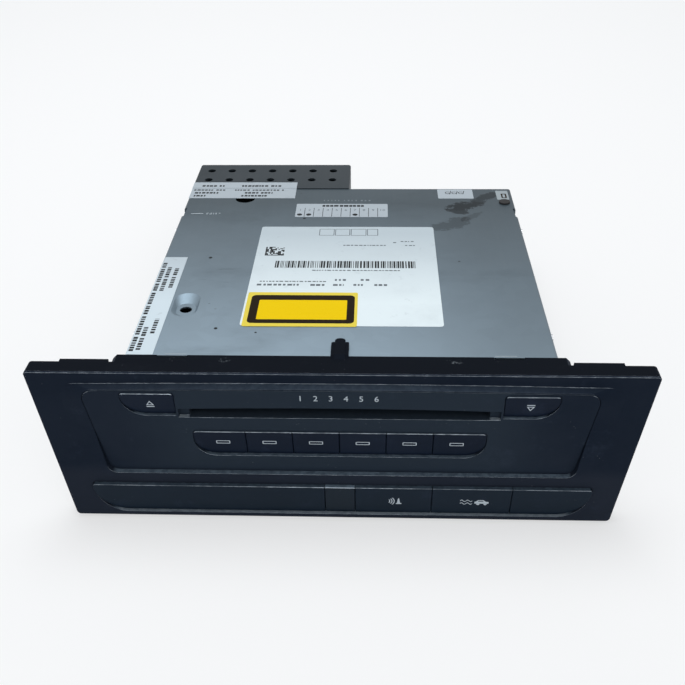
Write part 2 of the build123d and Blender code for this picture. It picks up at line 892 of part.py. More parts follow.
dimple_skin, dimple_hollow = pressed_dimple(cover_sheet), pressed_dimple(0)
with BuildPart() as top_cover:
    with BuildSketch(front_plane(cover_front)):
        box_outline(chassis_width / 2, chassis_top - cover_flange, chassis_top)
        fillet(vertices().sort_by(Axis.Y)[-2:], sheet_bend)
        box_outline(
            chassis_width / 2 - cover_sheet, chassis_top - cover_flange,
            chassis_top - cover_sheet, Mode.SUBTRACT,
        )
    extrude(amount=-cover_length)
    with BuildSketch(level(chassis_top - cover_flange)):
        for side in (-1, 1):
            with Locations((side * chassis_width / 2, depth_y(notch_depth + notch_length / 2))):
                Rectangle(2 * notch_bite, notch_length)
    extrude(amount=cover_flange, mode=Mode.SUBTRACT)
    with BuildSketch(x_plane(-chassis_width / 2)):
        with Locations(*cover_screw_places):
            Circle(side_screw_radius + running_fit)
    extrude(amount=chassis_width, mode=Mode.SUBTRACT)
    add(dimple_skin.part)
    add(dimple_hollow.part, mode=Mode.SUBTRACT)
    with BuildSketch(level(chassis_top)):
        with Locations((transit_x, depth_y(transit_depth))):
            Circle(transit_hole_radius)
        with Locations((plug_x, depth_y(plug_depth))):
            Circle(plug_radius - plug_lip)
        with Locations((sealed_hole_x, depth_y(sealed_hole_depth))):
            Circle(sealed_hole_radius)
    extrude(amount=-(transit_sink + 2 * cover_sheet), mode=Mode.SUBTRACT)
pieces["top_cover"] = top_cover

with BuildPart() as transit_plug:
    with BuildSketch(level(chassis_top)):
        with Locations((plug_x, depth_y(plug_depth))):
            Circle(plug_radius)
    extrude(amount=plug_height)
    fillet(transit_plug.edges().group_by(Axis.Z)[-1], plug_height / 2)
    with BuildSketch(level(chassis_top)):
        with Locations((plug_x, depth_y(plug_depth))):
            Circle(plug_radius - plug_lip - running_fit)
    extrude(amount=-(cover_sheet + plug_reach))
pieces["transit_plug"] = transit_plug

hood_length = hood_rear - chassis_rear
hood_left = -chassis_width / 2
hood_right = hood_left + hood_width
hood_middle = (hood_left + hood_right) / 2
hood_top = chassis_top + hood_step
hood_bottom = hood_top - hood_side_height
with BuildPart() as connector_hood:
    with BuildSketch(level(hood_bottom)):
        with Locations((hood_middle, depth_y(chassis_rear + hood_length / 2))):
            Rectangle(hood_width, hood_length)
        fillet(vertices().sort_by(Axis.Y)[-2:], hood_bend)
    extrude(amount=hood_side_height)
    fillet(faces().sort_by(Axis.Z)[-1].edges().sort_by(Axis.Y)[1:], hood_bend / 2)
    with BuildSketch(front_plane(chassis_rear + hood_sheet)):
        with Locations((hood_middle, (hood_bottom + hood_top - hood_sheet) / 2)):
            Rectangle(hood_width - 2 * hood_sheet, hood_side_height - hood_sheet)
    extrude(amount=-(hood_length - 2 * hood_sheet), mode=Mode.SUBTRACT)
    # the front wall is only a flange and the rear one only a lip
    for start, height in ((chassis_rear, hood_flange), (hood_rear - hood_sheet, hood_lip)):
        with BuildSketch(front_plane(start)):
            with Locations((hood_middle, (hood_bottom + hood_top - height) / 2)):
                Rectangle(hood_width - 2 * hood_sheet, hood_side_height - height)
        extrude(amount=-hood_sheet, mode=Mode.SUBTRACT)
    with BuildSketch(level(hood_top - hood_sheet)):
        rows_y = depth_y(hood_rear - hood_row_margin - hood_row_pitch / 2)
        with Locations((hood_middle - hood_hole_shift, rows_y)):
            with GridLocations(hood_hole_pitch, hood_row_pitch, hood_hole_columns, 2):
                Circle(hood_hole_radius)
    extrude(amount=hood_sheet, mode=Mode.SUBTRACT)
pieces["connector_hood"] = connector_hood

# Mechanism deck on rubber dampers, with two uprights beside the roller
deck_under = tray_floor + deck_lift
deck_top = deck_under + deck_wall
deck_half = deck_width / 2
deck_middle = (deck_front + deck_rear) / 2
upright_top = play_level + guide_gap
upright_x = deck_half - deck_wall
stack_y = depth_y(stack_depth)
roller_level = play_level - disc_wall / 2 - roller_radius
damper_places = [
    (side * (deck_half - damper_inset_x), depth_y(middle))
    for side in (-1, 1)
    for middle in (deck_front + damper_inset_y, deck_rear - damper_inset_y)
]
post_x = post_offset * cos(radians(post_angle))
post_y = post_offset * sin(radians(post_angle))
post_places = [(side * post_x, stack_y + way * post_y) for side in (-1, 1) for way in (-1, 1)]


def gear_distance(first, second):
    return gear_module * (first + second) / 2


def gear_centre(start, teeth, other_teeth, angle):
    reach = gear_distance(teeth, other_teeth)
    return (start[0] + reach * cos(radians(angle)), start[1] + reach * sin(radians(angle)))


roller_axis = (depth_y(roller_depth), roller_level)
idler_axis = gear_centre(roller_axis, roller_teeth, idler_teeth, idler_angle)
pinion_axis = gear_centre(idler_axis, idler_teeth, pinion_teeth, pinion_angle)
gear_x = deck_half + gear_side_gap


def gear_outline(teeth, turn, bore):
    """Involute spur gear drawn about the current location, first tooth at turn degrees."""
    pitch_radius = gear_module * teeth / 2
    base_radius = pitch_radius * cos(radians(20))
    tip_radius = pitch_radius + gear_module
    root_radius = pitch_radius - 1.2 * gear_module

    def flank_angle(radius):
        if radius <= base_radius:
            return 0.0
        roll = sqrt((radius / base_radius) ** 2 - 1)
        return roll - atan2(roll, 1)

    half_tooth = pi / (2 * teeth) - gear_backlash / 2 / pitch_radius
    flank_root = max(base_radius, root_radius)
    steps = [flank_root + k * (tip_radius - flank_root) / 3 for k in range(4)]
    points = []
    for tooth in range(teeth):
        centre = radians(turn) + 2 * pi * tooth / teeth
        side = [(root_radius, half_tooth + flank_angle(pitch_radius))]
        side += [(r, half_tooth + flank_angle(pitch_radius) - flank_angle(r)) for r in steps]
        points += [(r * cos(centre - a), r * sin(centre - a)) for r, a in side]
        points += [(r * cos(centre + a), r * sin(centre + a)) for r, a in reversed(side)]
    with BuildLine() as edge:
        Polyline(*points, close=True)
    make_face(edge.edges())
    Circle(bore, mode=Mode.SUBTRACT)


def gear(axis, teeth, turn, bore):
    """Gear across the unit, beside the right-hand upright."""
    plane = Plane(origin=(gear_x, axis[0], axis[1]), x_dir=(0, 1, 0), z_dir=(1, 0, 0))
    with BuildPart() as wheel:
        with BuildSketch(plane):
            gear_outline(teeth, turn, bore)
        extrude(amount=gear_wall)
    return wheel


with BuildPart() as mechanism_deck:
    with BuildSketch(level(deck_under)):
        with Locations((0, depth_y(deck_middle))):
            RectangleRounded(deck_width, deck_rear - deck_front, deck_corner)
        with Locations((0, stack_y)):
            Circle(disc_radius - 2 * carrier_rim - sled_skirt, mode=Mode.SUBTRACT)
    extrude(amount=deck_wall)
    with BuildSketch(x_plane(-deck_half)):
        with BuildLine():
            near = depth_y(deck_front + upright_setback)
            far = near + upright_length
            Polyline(
                (near, deck_under), (far, deck_under),
                (far, pinion_axis[1] + motor_radius / 2),
                (near + guide_length + bush_radius, upright_top), (near, upright_top),
                close=True,
            )
        make_face()
        with Locations(roller_axis):
            Circle(bush_radius, mode=Mode.SUBTRACT)
        with Locations(pinion_axis):
            Circle(motor_boss_radius, mode=Mode.SUBTRACT)
    extrude(amount=deck_wall)
    mirror(about=Plane.YZ)
    with BuildSketch(x_plane(deck_half - deck_wall)):
        with Locations(idler_axis):
            Circle(gear_pin_radius)
    extrude(amount=deck_wall + 2 * gear_side_gap + gear_wall)
    with BuildSketch(level(deck_under)):
        with Locations(*post_places):
            Circle(post_radius)
    extrude(amount=cover_under - seat_gap - deck_under)
    with BuildSketch(level(deck_under)):
        with Locations((arm_pivot_x, depth_y(arm_pivot_depth))):
            Circle(arm_post_radius + arm_wall)
    extrude(amount=arm_level - carrier_gap - deck_under)
    with BuildSketch(level(deck_under)):
        with Locations((arm_pivot_x, depth_y(arm_pivot_depth))):
            Circle(arm_post_radius)
    extrude(amount=arm_level + arm_post_end - deck_under)
pieces["mechanism_deck"] = mechanism_deck

with BuildPart() as deck_dampers:
    with BuildSketch(level(tray_floor)):
        with Locations(*damper_places):
            Circle(damper_radius)
    extrude(amount=deck_lift)
pieces["deck_dampers"] = deck_dampers

with BuildPart() as roller_bushes:
    for side in (-1, 1):
        with BuildSketch(x_plane(side * (deck_half - deck_wall / 2) - deck_wall / 2)):
            with Locations(roller_axis):
                Circle(bush_radius)
                Circle(roller_shaft_radius + running_fit, mode=Mode.SUBTRACT)
        extrude(amount=deck_wall)
pieces["roller_bushes"] = roller_bushes

shaft_end = gear_x + gear_wall
with BuildPart() as roller_shaft:
    with BuildSketch(x_plane(-deck_half - deck_wall)):
        with Locations(roller_axis):
            Circle(roller_shaft_radius)
    extrude(amount=shaft_end + deck_half + deck_wall)
pieces["roller_shaft"] = roller_shaft
with BuildPart() as feed_roller:
    with BuildSketch(x_plane(-roller_length / 2)):
        with Locations(roller_axis):
            Circle(roller_radius)
            Circle(roller_shaft_radius, mode=Mode.SUBTRACT)
    extrude(amount=roller_length)
    rims = feed_roller.edges().filter_by(GeomType.CIRCLE).group_by(SortBy.RADIUS)[-1]
    chamfer(rims, motor_bevel)
pieces["feed_roller"] = feed_roller


def mesh_turn(angle, teeth, driver_teeth, driver_turn):
    """Turn that puts a tooth space of this gear opposite the driver's tooth."""
    driver_phase = (angle - driver_turn) * driver_teeth / 360
    return angle + 180 - (0.5 - driver_phase) * 360 / teeth


idler_turn = mesh_turn(idler_angle, idler_teeth, roller_teeth, 0.0)
pinion_turn = mesh_turn(pinion_angle, pinion_teeth, idler_teeth, idler_turn)
pieces["roller_gear"] = gear(roller_axis, roller_teeth, 0.0, roller_shaft_radius)
pieces["idler_gear"] = gear(idler_axis, idler_teeth, idler_turn, gear_pin_radius + running_fit)
pieces["motor_pinion"] = gear(pinion_axis, pinion_teeth, pinion_turn, motor_shaft_radius)
with BuildPart() as motor_shaft:
    with BuildSketch(x_plane(deck_half - deck_wall - motor_length / 2)):
        with Locations(pinion_axis):
            Circle(motor_shaft_radius)
    extrude(amount=shaft_end - deck_half + deck_wall + motor_length / 2)
pieces["motor_shaft"] = motor_shaft
with BuildPart() as load_motor:
    with BuildSketch(x_plane(deck_half - deck_wall - motor_length)):
        with Locations(pinion_axis):
            Circle(motor_radius)
    extrude(amount=motor_length)
    with BuildSketch(x_plane(deck_half - deck_wall - motor_length / 2 - panel_gap)):
        with Locations(pinion_axis):
            Circle(motor_shaft_radius + running_fit)
    extrude(amount=motor_length, mode=Mode.SUBTRACT)
    chamfer(load_motor.faces().sort_by(Axis.X)[0].edges(), motor_bevel)
pieces["load_motor"] = load_motor

# Disc stack: six crescent carriers that ride up and down on four posts
carrier_outer = disc_radius + carrier_lead
carrier_inner = disc_radius - carrier_rim
ear_radius = post_radius + carrier_ear_wall
ear_reach = post_offset - disc_radius


def crescent():
    """Rim that holds a disc's edge, open towards the front and the swing arm."""
    sweep_angle = carrier_end_angle - carrier_start_angle
    with BuildLine() as edge:
        outer = CenterArc((0, 0), carrier_outer, carrier_start_angle, sweep_angle)
        inner = CenterArc((0, 0), carrier_inner, carrier_start_angle, sweep_angle)
        Line(outer @ 0, inner @ 0)
        Line(outer @ 1, inner @ 1)
    make_face(edge.edges())


with BuildPart() as disc_carriers:
    for index in range(carrier_count):
        floor = play_level - disc_wall / 2 - carrier_wall - index * carrier_pitch
        with BuildSketch(Plane(origin=(0, stack_y, floor))):
            crescent()
        extrude(amount=carrier_wall)
        with BuildSketch(level(floor)):
            with Locations(*post_places):
                Circle(ear_radius)
            for side in (-1, 1):
                with Locations((side * (post_x - ear_reach / 2), stack_y)):
                    with GridLocations(0, 2 * post_y, 1, 2):
                        Rectangle(ear_reach, 2 * ear_radius)
            with Locations(*post_places):
                Circle(post_radius + running_fit, mode=Mode.SUBTRACT)
            with Locations((0, stack_y)):
                Circle(disc_radius + carrier_lead / 2, mode=Mode.SUBTRACT)
        extrude(amount=carrier_pitch - carrier_gap)
pieces["disc_carriers"] = disc_carriers

# Swing arm: pivots on the deck post and carries turntable, rods and pickup
arm_y = depth_y(arm_pivot_depth)
arm_length = hypot(arm_pivot_x, stack_depth - arm_pivot_depth)
turntable_x = arm_pivot_x + arm_length
turntable_top = play_level - disc_wall / 2 - turntable_gap
rod_level = arm_level + arm_wall + rod_lift
rod_start = arm_pivot_x + arm_hub_radius + rod_offset
rod_end = turntable_x - turntable_radius - turntable_gap
block_half = screw_offset + 2 * screw_radius

with BuildPart() as swing_arm:
    with BuildSketch(level(arm_level)):
        with Locations(((arm_pivot_x + arm_hub_radius / 2 + turntable_x) / 2, arm_y)):
            Rectangle(arm_length - arm_hub_radius / 2, 2 * arm_half_width)
        with Locations((arm_pivot_x, arm_y)):
            Circle(arm_hub_radius)
        with Locations((turntable_x, arm_y)):
            Circle(arm_half_width)
        with Locations(((rod_start + rod_end) / 2, arm_y)):
            Rectangle(rod_end - rod_start - 3 * rod_block, arm_window, mode=Mode.SUBTRACT)
    extrude(amount=arm_wall)
    with BuildSketch(level(arm_level)):
        with Locations((arm_pivot_x, arm_y)):
            Circle(arm_hub_radius)
    extrude(amount=arm_hub_height)
    with BuildSketch(level(arm_level)):
        for x in (rod_start + rod_block / 2, rod_end - rod_block / 2):
            with Locations((x, arm_y)):
                Rectangle(rod_block, 2 * block_half)
    extrude(amount=arm_wall + 2 * rod_lift)
    with BuildSketch(level(arm_level)):
        with Locations((arm_pivot_x, arm_y)):
            Circle(arm_post_radius + running_fit)
    extrude(amount=arm_hub_height, mode=Mode.SUBTRACT)
    with BuildSketch(x_plane(rod_start)):
        with Locations((arm_y - rod_spread, rod_level), (arm_y + rod_spread, rod_level)):
            Circle(rod_radius)
        with Locations((arm_y - screw_offset, rod_level)):
            Circle(screw_radius + running_fit)
    extrude(amount=rod_end - rod_start, mode=Mode.SUBTRACT)
pieces["swing_arm"] = swing_arm

with BuildPart() as sled_rods:
    with BuildSketch(x_plane(rod_start)):
        with Locations((arm_y - rod_spread, rod_level), (arm_y + rod_spread, rod_level)):
            Circle(rod_radius)
    extrude(amount=rod_end - rod_start)
pieces["sled_rods"] = sled_rods

with BuildPart() as lead_screw:
    with BuildSketch(x_plane(rod_start)):
        with Locations((arm_y - screw_offset, rod_level)):
            Circle(screw_radius)
    extrude(amount=rod_end - rod_start)
pieces["lead_screw"] = lead_screw

sled_middle = turntable_x - sled_start
sled_top = turntable_top - sled_drop
sled_bottom = rod_level - sled_skirt
with BuildPart() as pickup_sled:
    with BuildSketch(level(sled_bottom)):
        with Locations((sled_middle, arm_y)):
            RectangleRounded(sled_length, sled_width, rod_radius)
    extrude(amount=sled_top - sled_bottom)
    with BuildSketch(level(sled_bottom)):
        with Locations((sled_middle, arm_y - sled_width / 2)):
            Rectangle(sled_nut_width, 2 * sled_nut_reach)
    extrude(amount=sled_skirt - screw_radius - running_fit)
    with BuildSketch(x_plane(sled_middle - sled_length / 2)):
        with Locations((arm_y - rod_spread, rod_level), (arm_y + rod_spread, rod_level)):
            Circle(rod_radius + running_fit)
    extrude(amount=sled_length, mode=Mode.SUBTRACT)
pieces["pickup_sled"] = pickup_sled

with BuildPart() as pickup_lens:
    with BuildSketch(level(sled_top)):
        with Locations((sled_middle, arm_y)):
            Circle(lens_radius)
    extrude(amount=lens_height)
    fillet(pickup_lens.edges().group_by(Axis.Z)[-1], lens_height / 2)
pieces["pickup_lens"] = pickup_lens

with BuildPart() as spindle_motor:
    with BuildSketch(level(arm_level + arm_wall)):
        with Locations((turntable_x, arm_y)):
            Circle(spindle_motor_radius)
    extrude(amount=spindle_motor_height)
pieces["spindle_motor"] = spindle_motor

with BuildPart() as turntable:
    with BuildSketch(level(turntable_top - turntable_wall)):
        with Locations((turntable_x, arm_y)):
            Circle(turntable_radius)
    extrude(amount=turntable_wall)
    with BuildSketch(level(turntable_top)):
        with Locations((turntable_x, arm_y)):
            Circle(turntable_hub_radius)
    extrude(amount=turntable_hub_height, taper=18)
    spindle_top = arm_level + arm_wall + spindle_motor_height
    with BuildSketch(level(spindle_top)):
        with Locations((turntable_x, arm_y)):
            Circle(motor_shaft_radius)
    extrude(amount=turntable_top - turntable_wall - spindle_top)
pieces["turntable"] = turntable

# Guide above the roller, seated on the uprights
guide_middle = depth_y(deck_front + upright_setback + guide_length / 2)
with BuildPart() as disc_guide:
    with BuildSketch(level(upright_top)):
        with Locations((0, guide_middle)):
            Rectangle(deck_width, guide_length)
    extrude(amount=guide_wall)
    with BuildSketch(level(upright_top + guide_wall)):
        with Locations((0, guide_middle)):
            with GridLocations(deck_width / carrier_count, 0, carrier_count, 1):
                Rectangle(guide_rib_wall, guide_length - 2 * guide_rib_wall)
    extrude(amount=guide_rib_height)
pieces["disc_guide"] = disc_guide

# Main board on the tray's standoffs, with the two sockets that show at the back
with BuildPart() as main_board:
    with BuildSketch(level(tray_floor + main_board_lift)):
        with Locations((0, depth_y((main_board_front + main_board_rear) / 2))):
            Rectangle(2 * main_board_half, main_board_rear - main_board_front)
        with Locations(*damper_places):
            Circle(damper_radius + seat_gap, mode=Mode.SUBTRACT)
        with Locations(*standoff_places):
            Circle(board_screw_radius + running_fit, mode=Mode.SUBTRACT)
    extrude(amount=board_wall)
pieces["main_board"] = main_board

with BuildPart() as board_screws:
    with BuildSketch(level(main_board_top)):
        with Locations(*standoff_places):
            Circle(2 * board_screw_radius)
    extrude(amount=screw_head_height)
    with BuildSketch(level(tray_floor + main_board_lift)):
        with Locations(*standoff_places):
            Circle(board_screw_radius)
    extrude(amount=board_wall)
pieces["board_screws"] = board_screws

board_length = main_board_rear - main_board_front
with BuildPart() as board_chips:
    with BuildSketch(level(main_board_top)):
        for across, along, size in chip_places:
            with Locations((across * main_board_half, depth_y(main_board_front + along * board_length))):
                Rectangle(size, size)
    extrude(amount=chip_height)
pieces["board_chips"] = board_chips

with BuildPart() as board_capacitors:
    with BuildSketch(level(main_board_top)):
        with Locations((capacitor_x, depth_y(main_board_rear - capacitor_rear))):
            with GridLocations(capacitor_pitch, 0, 4, 1):
                Circle(capacitor_radius)
    extrude(amount=capacitor_height)
pieces["board_capacitors"] = board_capacitors

connector_front = chassis_rear - socket_root
power_middle = main_board_top + power_height / 2
optical_middle = main_board_top + optical_height / 2
with BuildPart() as power_socket:
    with BuildSketch(front_plane(connector_front)):
        with Locations((power_x, power_middle)):
            Rectangle(power_width, power_height)
    extrude(amount=-(chassis_rear + power_depth - connector_front))
    with BuildSketch(front_plane(chassis_rear + socket_floor)):
        with Locations((power_x, power_middle)):
            Rectangle(power_width - 2 * power_wall, power_height - 2 * power_wall)
    extrude(amount=-power_depth, mode=Mode.SUBTRACT)
    with BuildSketch(front_plane(chassis_rear + power_depth - power_key_length)):
        with Locations((power_x, main_board_top + power_height - power_wall)):
            Rectangle(power_key_width, 3 * power_wall)
    extrude(amount=-power_key_length, mode=Mode.SUBTRACT)
pieces["power_socket"] = power_socket

with BuildPart() as power_pins:
    with BuildSketch(front_plane(chassis_rear + socket_floor)):
        with Locations((power_x, power_middle)):
            with GridLocations(power_pin_pitch, power_row_pitch, power_pin_columns, power_pin_rows):
                Rectangle(power_pin_size, power_pin_size)
    extrude(amount=-(power_depth - socket_floor - power_pin_sink))
pieces["power_pins"] = power_pins

with BuildPart() as optical_socket:
    with BuildSketch(front_plane(connector_front)):
        with Locations((optical_x, optical_middle)):
            Rectangle(optical_width, optical_height)
    extrude(amount=-(chassis_rear + optical_depth - connector_front))
    with BuildSketch(front_plane(chassis_rear + optical_floor)):
        with Locations((optical_x, optical_middle)):
            Rectangle(optical_width - 2 * optical_wall, optical_height - 2 * optical_wall)
    extrude(amount=-optical_depth, mode=Mode.SUBTRACT)
    with BuildSketch(front_plane(chassis_rear + optical_floor)):
        with Locations((optical_x, optical_middle)):
            with GridLocations(optical_pitch, 0, 2, 1):
                Circle(optical_ferrule_radius)
                Circle(optical_ferrule_bore, mode=Mode.SUBTRACT)
    extrude(amount=-(optical_depth - optical_floor - optical_ferrule_sink))
pieces["optical_socket"] = optical_socket

# Flat cable from the control board to the main board
cable_start = depth_y(control_board_depth + board_wall)
cable_end = depth_y(main_board_front + cable_lap)
cable_top = board_bottom + cable_lift
with BuildPart() as board_cable:
    with BuildSketch(x_plane(-cable_width / 2)):
        with BuildLine():
            Polyline(
                (cable_start, cable_top), (cable_start + cable_wall, cable_top),
                (cable_start + cable_wall, main_board_top + cable_wall),
                (cable_end, main_board_top + cable_wall), (cable_end, main_board_top),
                (cable_start, main_board_top), close=True,
            )
        make_face()
    extrude(amount=cable_width)
pieces["board_cable"] = board_cable

# Fasteners: side screws of the cover and of the moulding's collar
def side_screws(places, seat, length):
    """Pan-head screws through both side walls: places are (y, z) pairs."""
    with BuildPart() as screws:
        with BuildSketch(x_plane(seat)):
            with Locations(*places):
                Circle(side_screw_head)
        extrude(amount=side_screw_head_height)
        with BuildSketch(x_plane(seat)):
            with Locations(*places):
                Circle(side_screw_radius)
        extrude(amount=-length)
        mirror(about=Plane.YZ)
    return screws


cover_screw_length = cover_sheet + sheet_gap + tray_sheet
collar_screw_length = (
    collar_side_wall + seat_gap + (chassis_width - tray_width) / 2 + tray_sheet
)
pieces["cover_screws"] = side_screws(cover_screw_places, chassis_width / 2, cover_screw_length)
pieces["collar_screws"] = side_screws(collar_screw_places, collar_half, collar_screw_length)

os.makedirs("parts", exist_ok=True)
for label, piece in pieces.items():
    piece.part.label = label
    export_step(piece.part, f"parts/{label}.step")
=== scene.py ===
import json
import random
from math import atan2, cos, pi, radians, sin

import bmesh
import bpy
from mathutils import Matrix, Vector


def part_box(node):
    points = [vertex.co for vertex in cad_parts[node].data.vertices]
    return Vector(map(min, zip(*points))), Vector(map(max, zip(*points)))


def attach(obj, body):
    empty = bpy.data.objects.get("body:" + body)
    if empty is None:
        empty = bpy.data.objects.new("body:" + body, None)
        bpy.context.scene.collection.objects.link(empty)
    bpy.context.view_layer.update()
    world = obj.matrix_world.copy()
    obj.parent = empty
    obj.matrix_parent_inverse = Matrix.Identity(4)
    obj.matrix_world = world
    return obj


# Looks for the car disc changer. Everything is in metres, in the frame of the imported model:
# +X along the face, +Y into the dash, +Z up. Depth is counted from the moulding's flat face.
# Names that end in _mm, and all drawings of prints and labels, are in millimetres.
MM = 0.001

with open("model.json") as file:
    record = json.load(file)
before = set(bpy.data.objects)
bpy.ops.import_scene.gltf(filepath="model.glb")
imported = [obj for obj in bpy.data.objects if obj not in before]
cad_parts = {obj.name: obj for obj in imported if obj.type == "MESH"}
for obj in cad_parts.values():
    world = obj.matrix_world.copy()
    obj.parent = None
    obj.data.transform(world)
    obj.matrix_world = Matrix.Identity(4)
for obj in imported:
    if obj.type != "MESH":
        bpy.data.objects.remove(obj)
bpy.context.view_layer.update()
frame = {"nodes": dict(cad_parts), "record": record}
nodes = frame["nodes"]

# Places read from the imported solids
cover_low, cover_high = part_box("top_cover")
tray_low, tray_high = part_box("chassis_tray")
bezel_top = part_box("front_bezel")[1].z
hood_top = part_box("connector_hood")[1].z
cover_drop = 2.4 * MM
cover_top = bezel_top - cover_drop
cover_rear = cover_high.y
cover_front_depth = 16.2 * MM
face_y = cover_low.y - cover_front_depth
moulding_depth = 7.6 * MM

# Thicknesses of foil and ink, and how far they sink into what carries them
foil_wall = 0.10 * MM
foil_sunk = 0.02 * MM
ink_wall = 0.02 * MM
face_ink_wall = 0.03 * MM


def at_depth(depth_mm):
    """Y of a depth behind the flat face."""
    return face_y + depth_mm * MM


def in_metres(distances_mm):
    """The same distances in metres."""
    return [distance * MM for distance in distances_mm]


def under_top(drops_mm):
    """Levels that far under the moulding's top edge."""
    return [bezel_top - drop * MM for drop in drops_mm]


# Shader maths and nodes


class Value:
    """A shader output that takes part in Python expressions."""

    def __init__(self, paint, socket):
        self.paint, self.socket = paint, socket

    def _math(self, operation, *inputs):
        return self.paint.node("ShaderNodeMath", {"operation": operation}, inputs)

    def __add__(self, other):
        return self._math("ADD", self, other)

    def __radd__(self, other):
        return self._math("ADD", other, self)

    def __sub__(self, other):
        return self._math("SUBTRACT", self, other)

    def __rsub__(self, other):
        return self._math("SUBTRACT", other, self)

    def __mul__(self, other):
        return self._math("MULTIPLY", self, other)

    def __rmul__(self, other):
        return self._math("MULTIPLY", other, self)

    def __truediv__(self, other):
        return self._math("DIVIDE", self, other)

    def __pow__(self, other):
        return self._math("POWER", self, other)

    def clamped(self):
        return self.paint.node("ShaderNodeClamp", {}, [self])

    def step(self, low, high):
        """0 below low, 1 above high and smooth between; turned round where low is above high."""
        falling = low > high
        low, high = min(low, high), max(low, high)
        mask = self.paint.node(
            "ShaderNodeMapRange", {"interpolation_type": "SMOOTHSTEP"}, [self, low, high, 0.0, 1.0]
        )
        return 1 - mask if falling else mask

    def band(self, start, full, last, end):
        """1 from full to last, and 0 below start and above end."""
        return self.step(start, full) * self.step(end, last)

    def apart(self, first_mm, second_mm):
        """Goes from 0 at the first distance from zero to 1 at the second, on both sides."""
        return (self * self).step((first_mm * MM) ** 2, (second_mm * MM) ** 2)


class Paint:
    """A material under construction, or a world where its kind and shader are given."""

    def __init__(self, name, kind="materials", shader="Principled BSDF"):
        self.owner = getattr(bpy.data, kind).new(name)
        self.owner.use_nodes = True
        self.tree = self.owner.node_tree
        self.shader = self.tree.nodes[shader]

    def node(self, kind, settings, inputs=(), output=0):
        """Adds a node: settings first, then its sockets from a list or a dict of names."""
        made = self.tree.nodes.new(kind)
        for key, value in settings.items():
            setattr(made, key, value)
        pairs = inputs.items() if isinstance(inputs, dict) else enumerate(inputs)
        for key, value in pairs:
            self.feed(made.inputs[key], value)
        return Value(self, made.outputs[output])

    def outputs(self, kind, inputs, names):
        """Several outputs of one node."""
        made = self.node(kind, {}, inputs).socket.node
        return [Value(self, made.outputs[name]) for name in names]

    def feed(self, socket, value):
        """Links a value to a socket, or writes a plain number or colour there."""
        if isinstance(value, Value):
            self.tree.links.new(value.socket, socket)
        elif value is not None:
            if socket.type == "RGBA" and len(value) == 3:
                value = (*value, 1.0)
            socket.default_value = value

    def point(self, stretch=(1, 1, 1)):
        """Place on the object, stretched along the axes."""
        place = self.node("ShaderNodeTexCoord", {}, output="Object")
        if stretch == (1, 1, 1):
            return place
        return self.node("ShaderNodeVectorMath", {"operation": "MULTIPLY"}, [place, stretch])

    def axes(self, place=None):
        """X, Y and Z of a place as three values."""
        return self.outputs("ShaderNodeSeparateXYZ", [place or self.point()], range(3))

    def seen_rays(self):
        """1 for the rays that see a thing: straight, in a mirror or through glass."""
        kinds = ("Is Camera Ray", "Is Glossy Ray", "Is Transmission Ray")
        straight, mirrored, passed = self.outputs("ShaderNodeLightPath", (), kinds)
        return (straight + mirrored + passed).clamped()

    def edge_wear_and_highlight(self, fillets):
        """1 on edges that face up and forward, partly rubbed wear where hands and cloths rub and
        partly a painted highlight where light from above catches them: sharp ones and, on pieces
        without ramps, the small fillets as well."""
        edge_highlight_reach = 0.32 * MM
        smooth = self.node("ShaderNodeBevel", {"samples": 6}, {"Radius": edge_highlight_reach})
        plain = self.node("ShaderNodeNewGeometry", {}, output="Normal")
        turn = self.node("ShaderNodeVectorMath", {"operation": "DOT_PRODUCT"}, [smooth, plain], 1)
        y, z = self.axes(smooth)[1:]
        sharp = (1 - turn).step(0.004, 0.03) * z.step(0.16, 0.4) * (0 - y).step(0.42, 0.62)
        if not fillets:
            return sharp
        y, z = self.axes(plain)[1:]
        return (sharp + z.step(0.45, 0.6) * z.step(0.96, 0.88) * (0 - y).step(0.25, 0.4)).clamped()

    def faces_up(self):
        """1 on surfaces that lie level or nearly so."""
        up = self.axes(self.node("ShaderNodeNewGeometry", {}, output="Normal"))[2]
        return up.step(0.80, 0.97)

    def noise(self, scale, detail=3.0, rough=0.55, stretch=(1, 1, 1), shift=0.0):
        """Cloudy noise; a shift gives another cloud of the same kind."""
        place = self.point(stretch)
        if shift:
            place = self.node(
                "ShaderNodeVectorMath", {"operation": "ADD"}, [place, (shift, shift, shift)]
            )
        return self.node(
            "ShaderNodeTexNoise", {},
            {"Vector": place, "Scale": scale, "Detail": detail, "Roughness": rough},
        )

    def grain(self, size_mm):
        """Fine noise whose bumps are about that large."""
        bumps_per_size = 0.7
        return self.noise(bumps_per_size / (size_mm * MM), detail=2)

    def cells(self, scale, output="Distance"):
        """Distance to the nearest of many scattered points, or each point's own colour."""
        return self.node(
            "ShaderNodeTexVoronoi", {"feature": "F1"},
            {"Vector": self.point(), "Scale": scale}, output=output,
        )

    def blend(self, mask, first, second):
        """Colour that goes from first to second as the mask goes from 0 to 1."""
        return self.node(
            "ShaderNodeMix", {"data_type": "RGBA"}, {0: mask, 6: first, 7: second}, output=2
        )

    def bump(self, height, depth_mm, strength, normal=None):
        """Normal of a finish that is that deep, on top of another normal where given."""
        return self.node(
            "ShaderNodeBump", {},
            {"Strength": strength, "Distance": depth_mm * MM, "Height": height, "Normal": normal},
        )

    def done(self, **sockets):
        """Feeds the shader's sockets: an underscore in a name stands for a space."""
        for key, value in sockets.items():
            self.feed(self.shader.inputs[key.replace("_", " ")], value)
        return self.owner
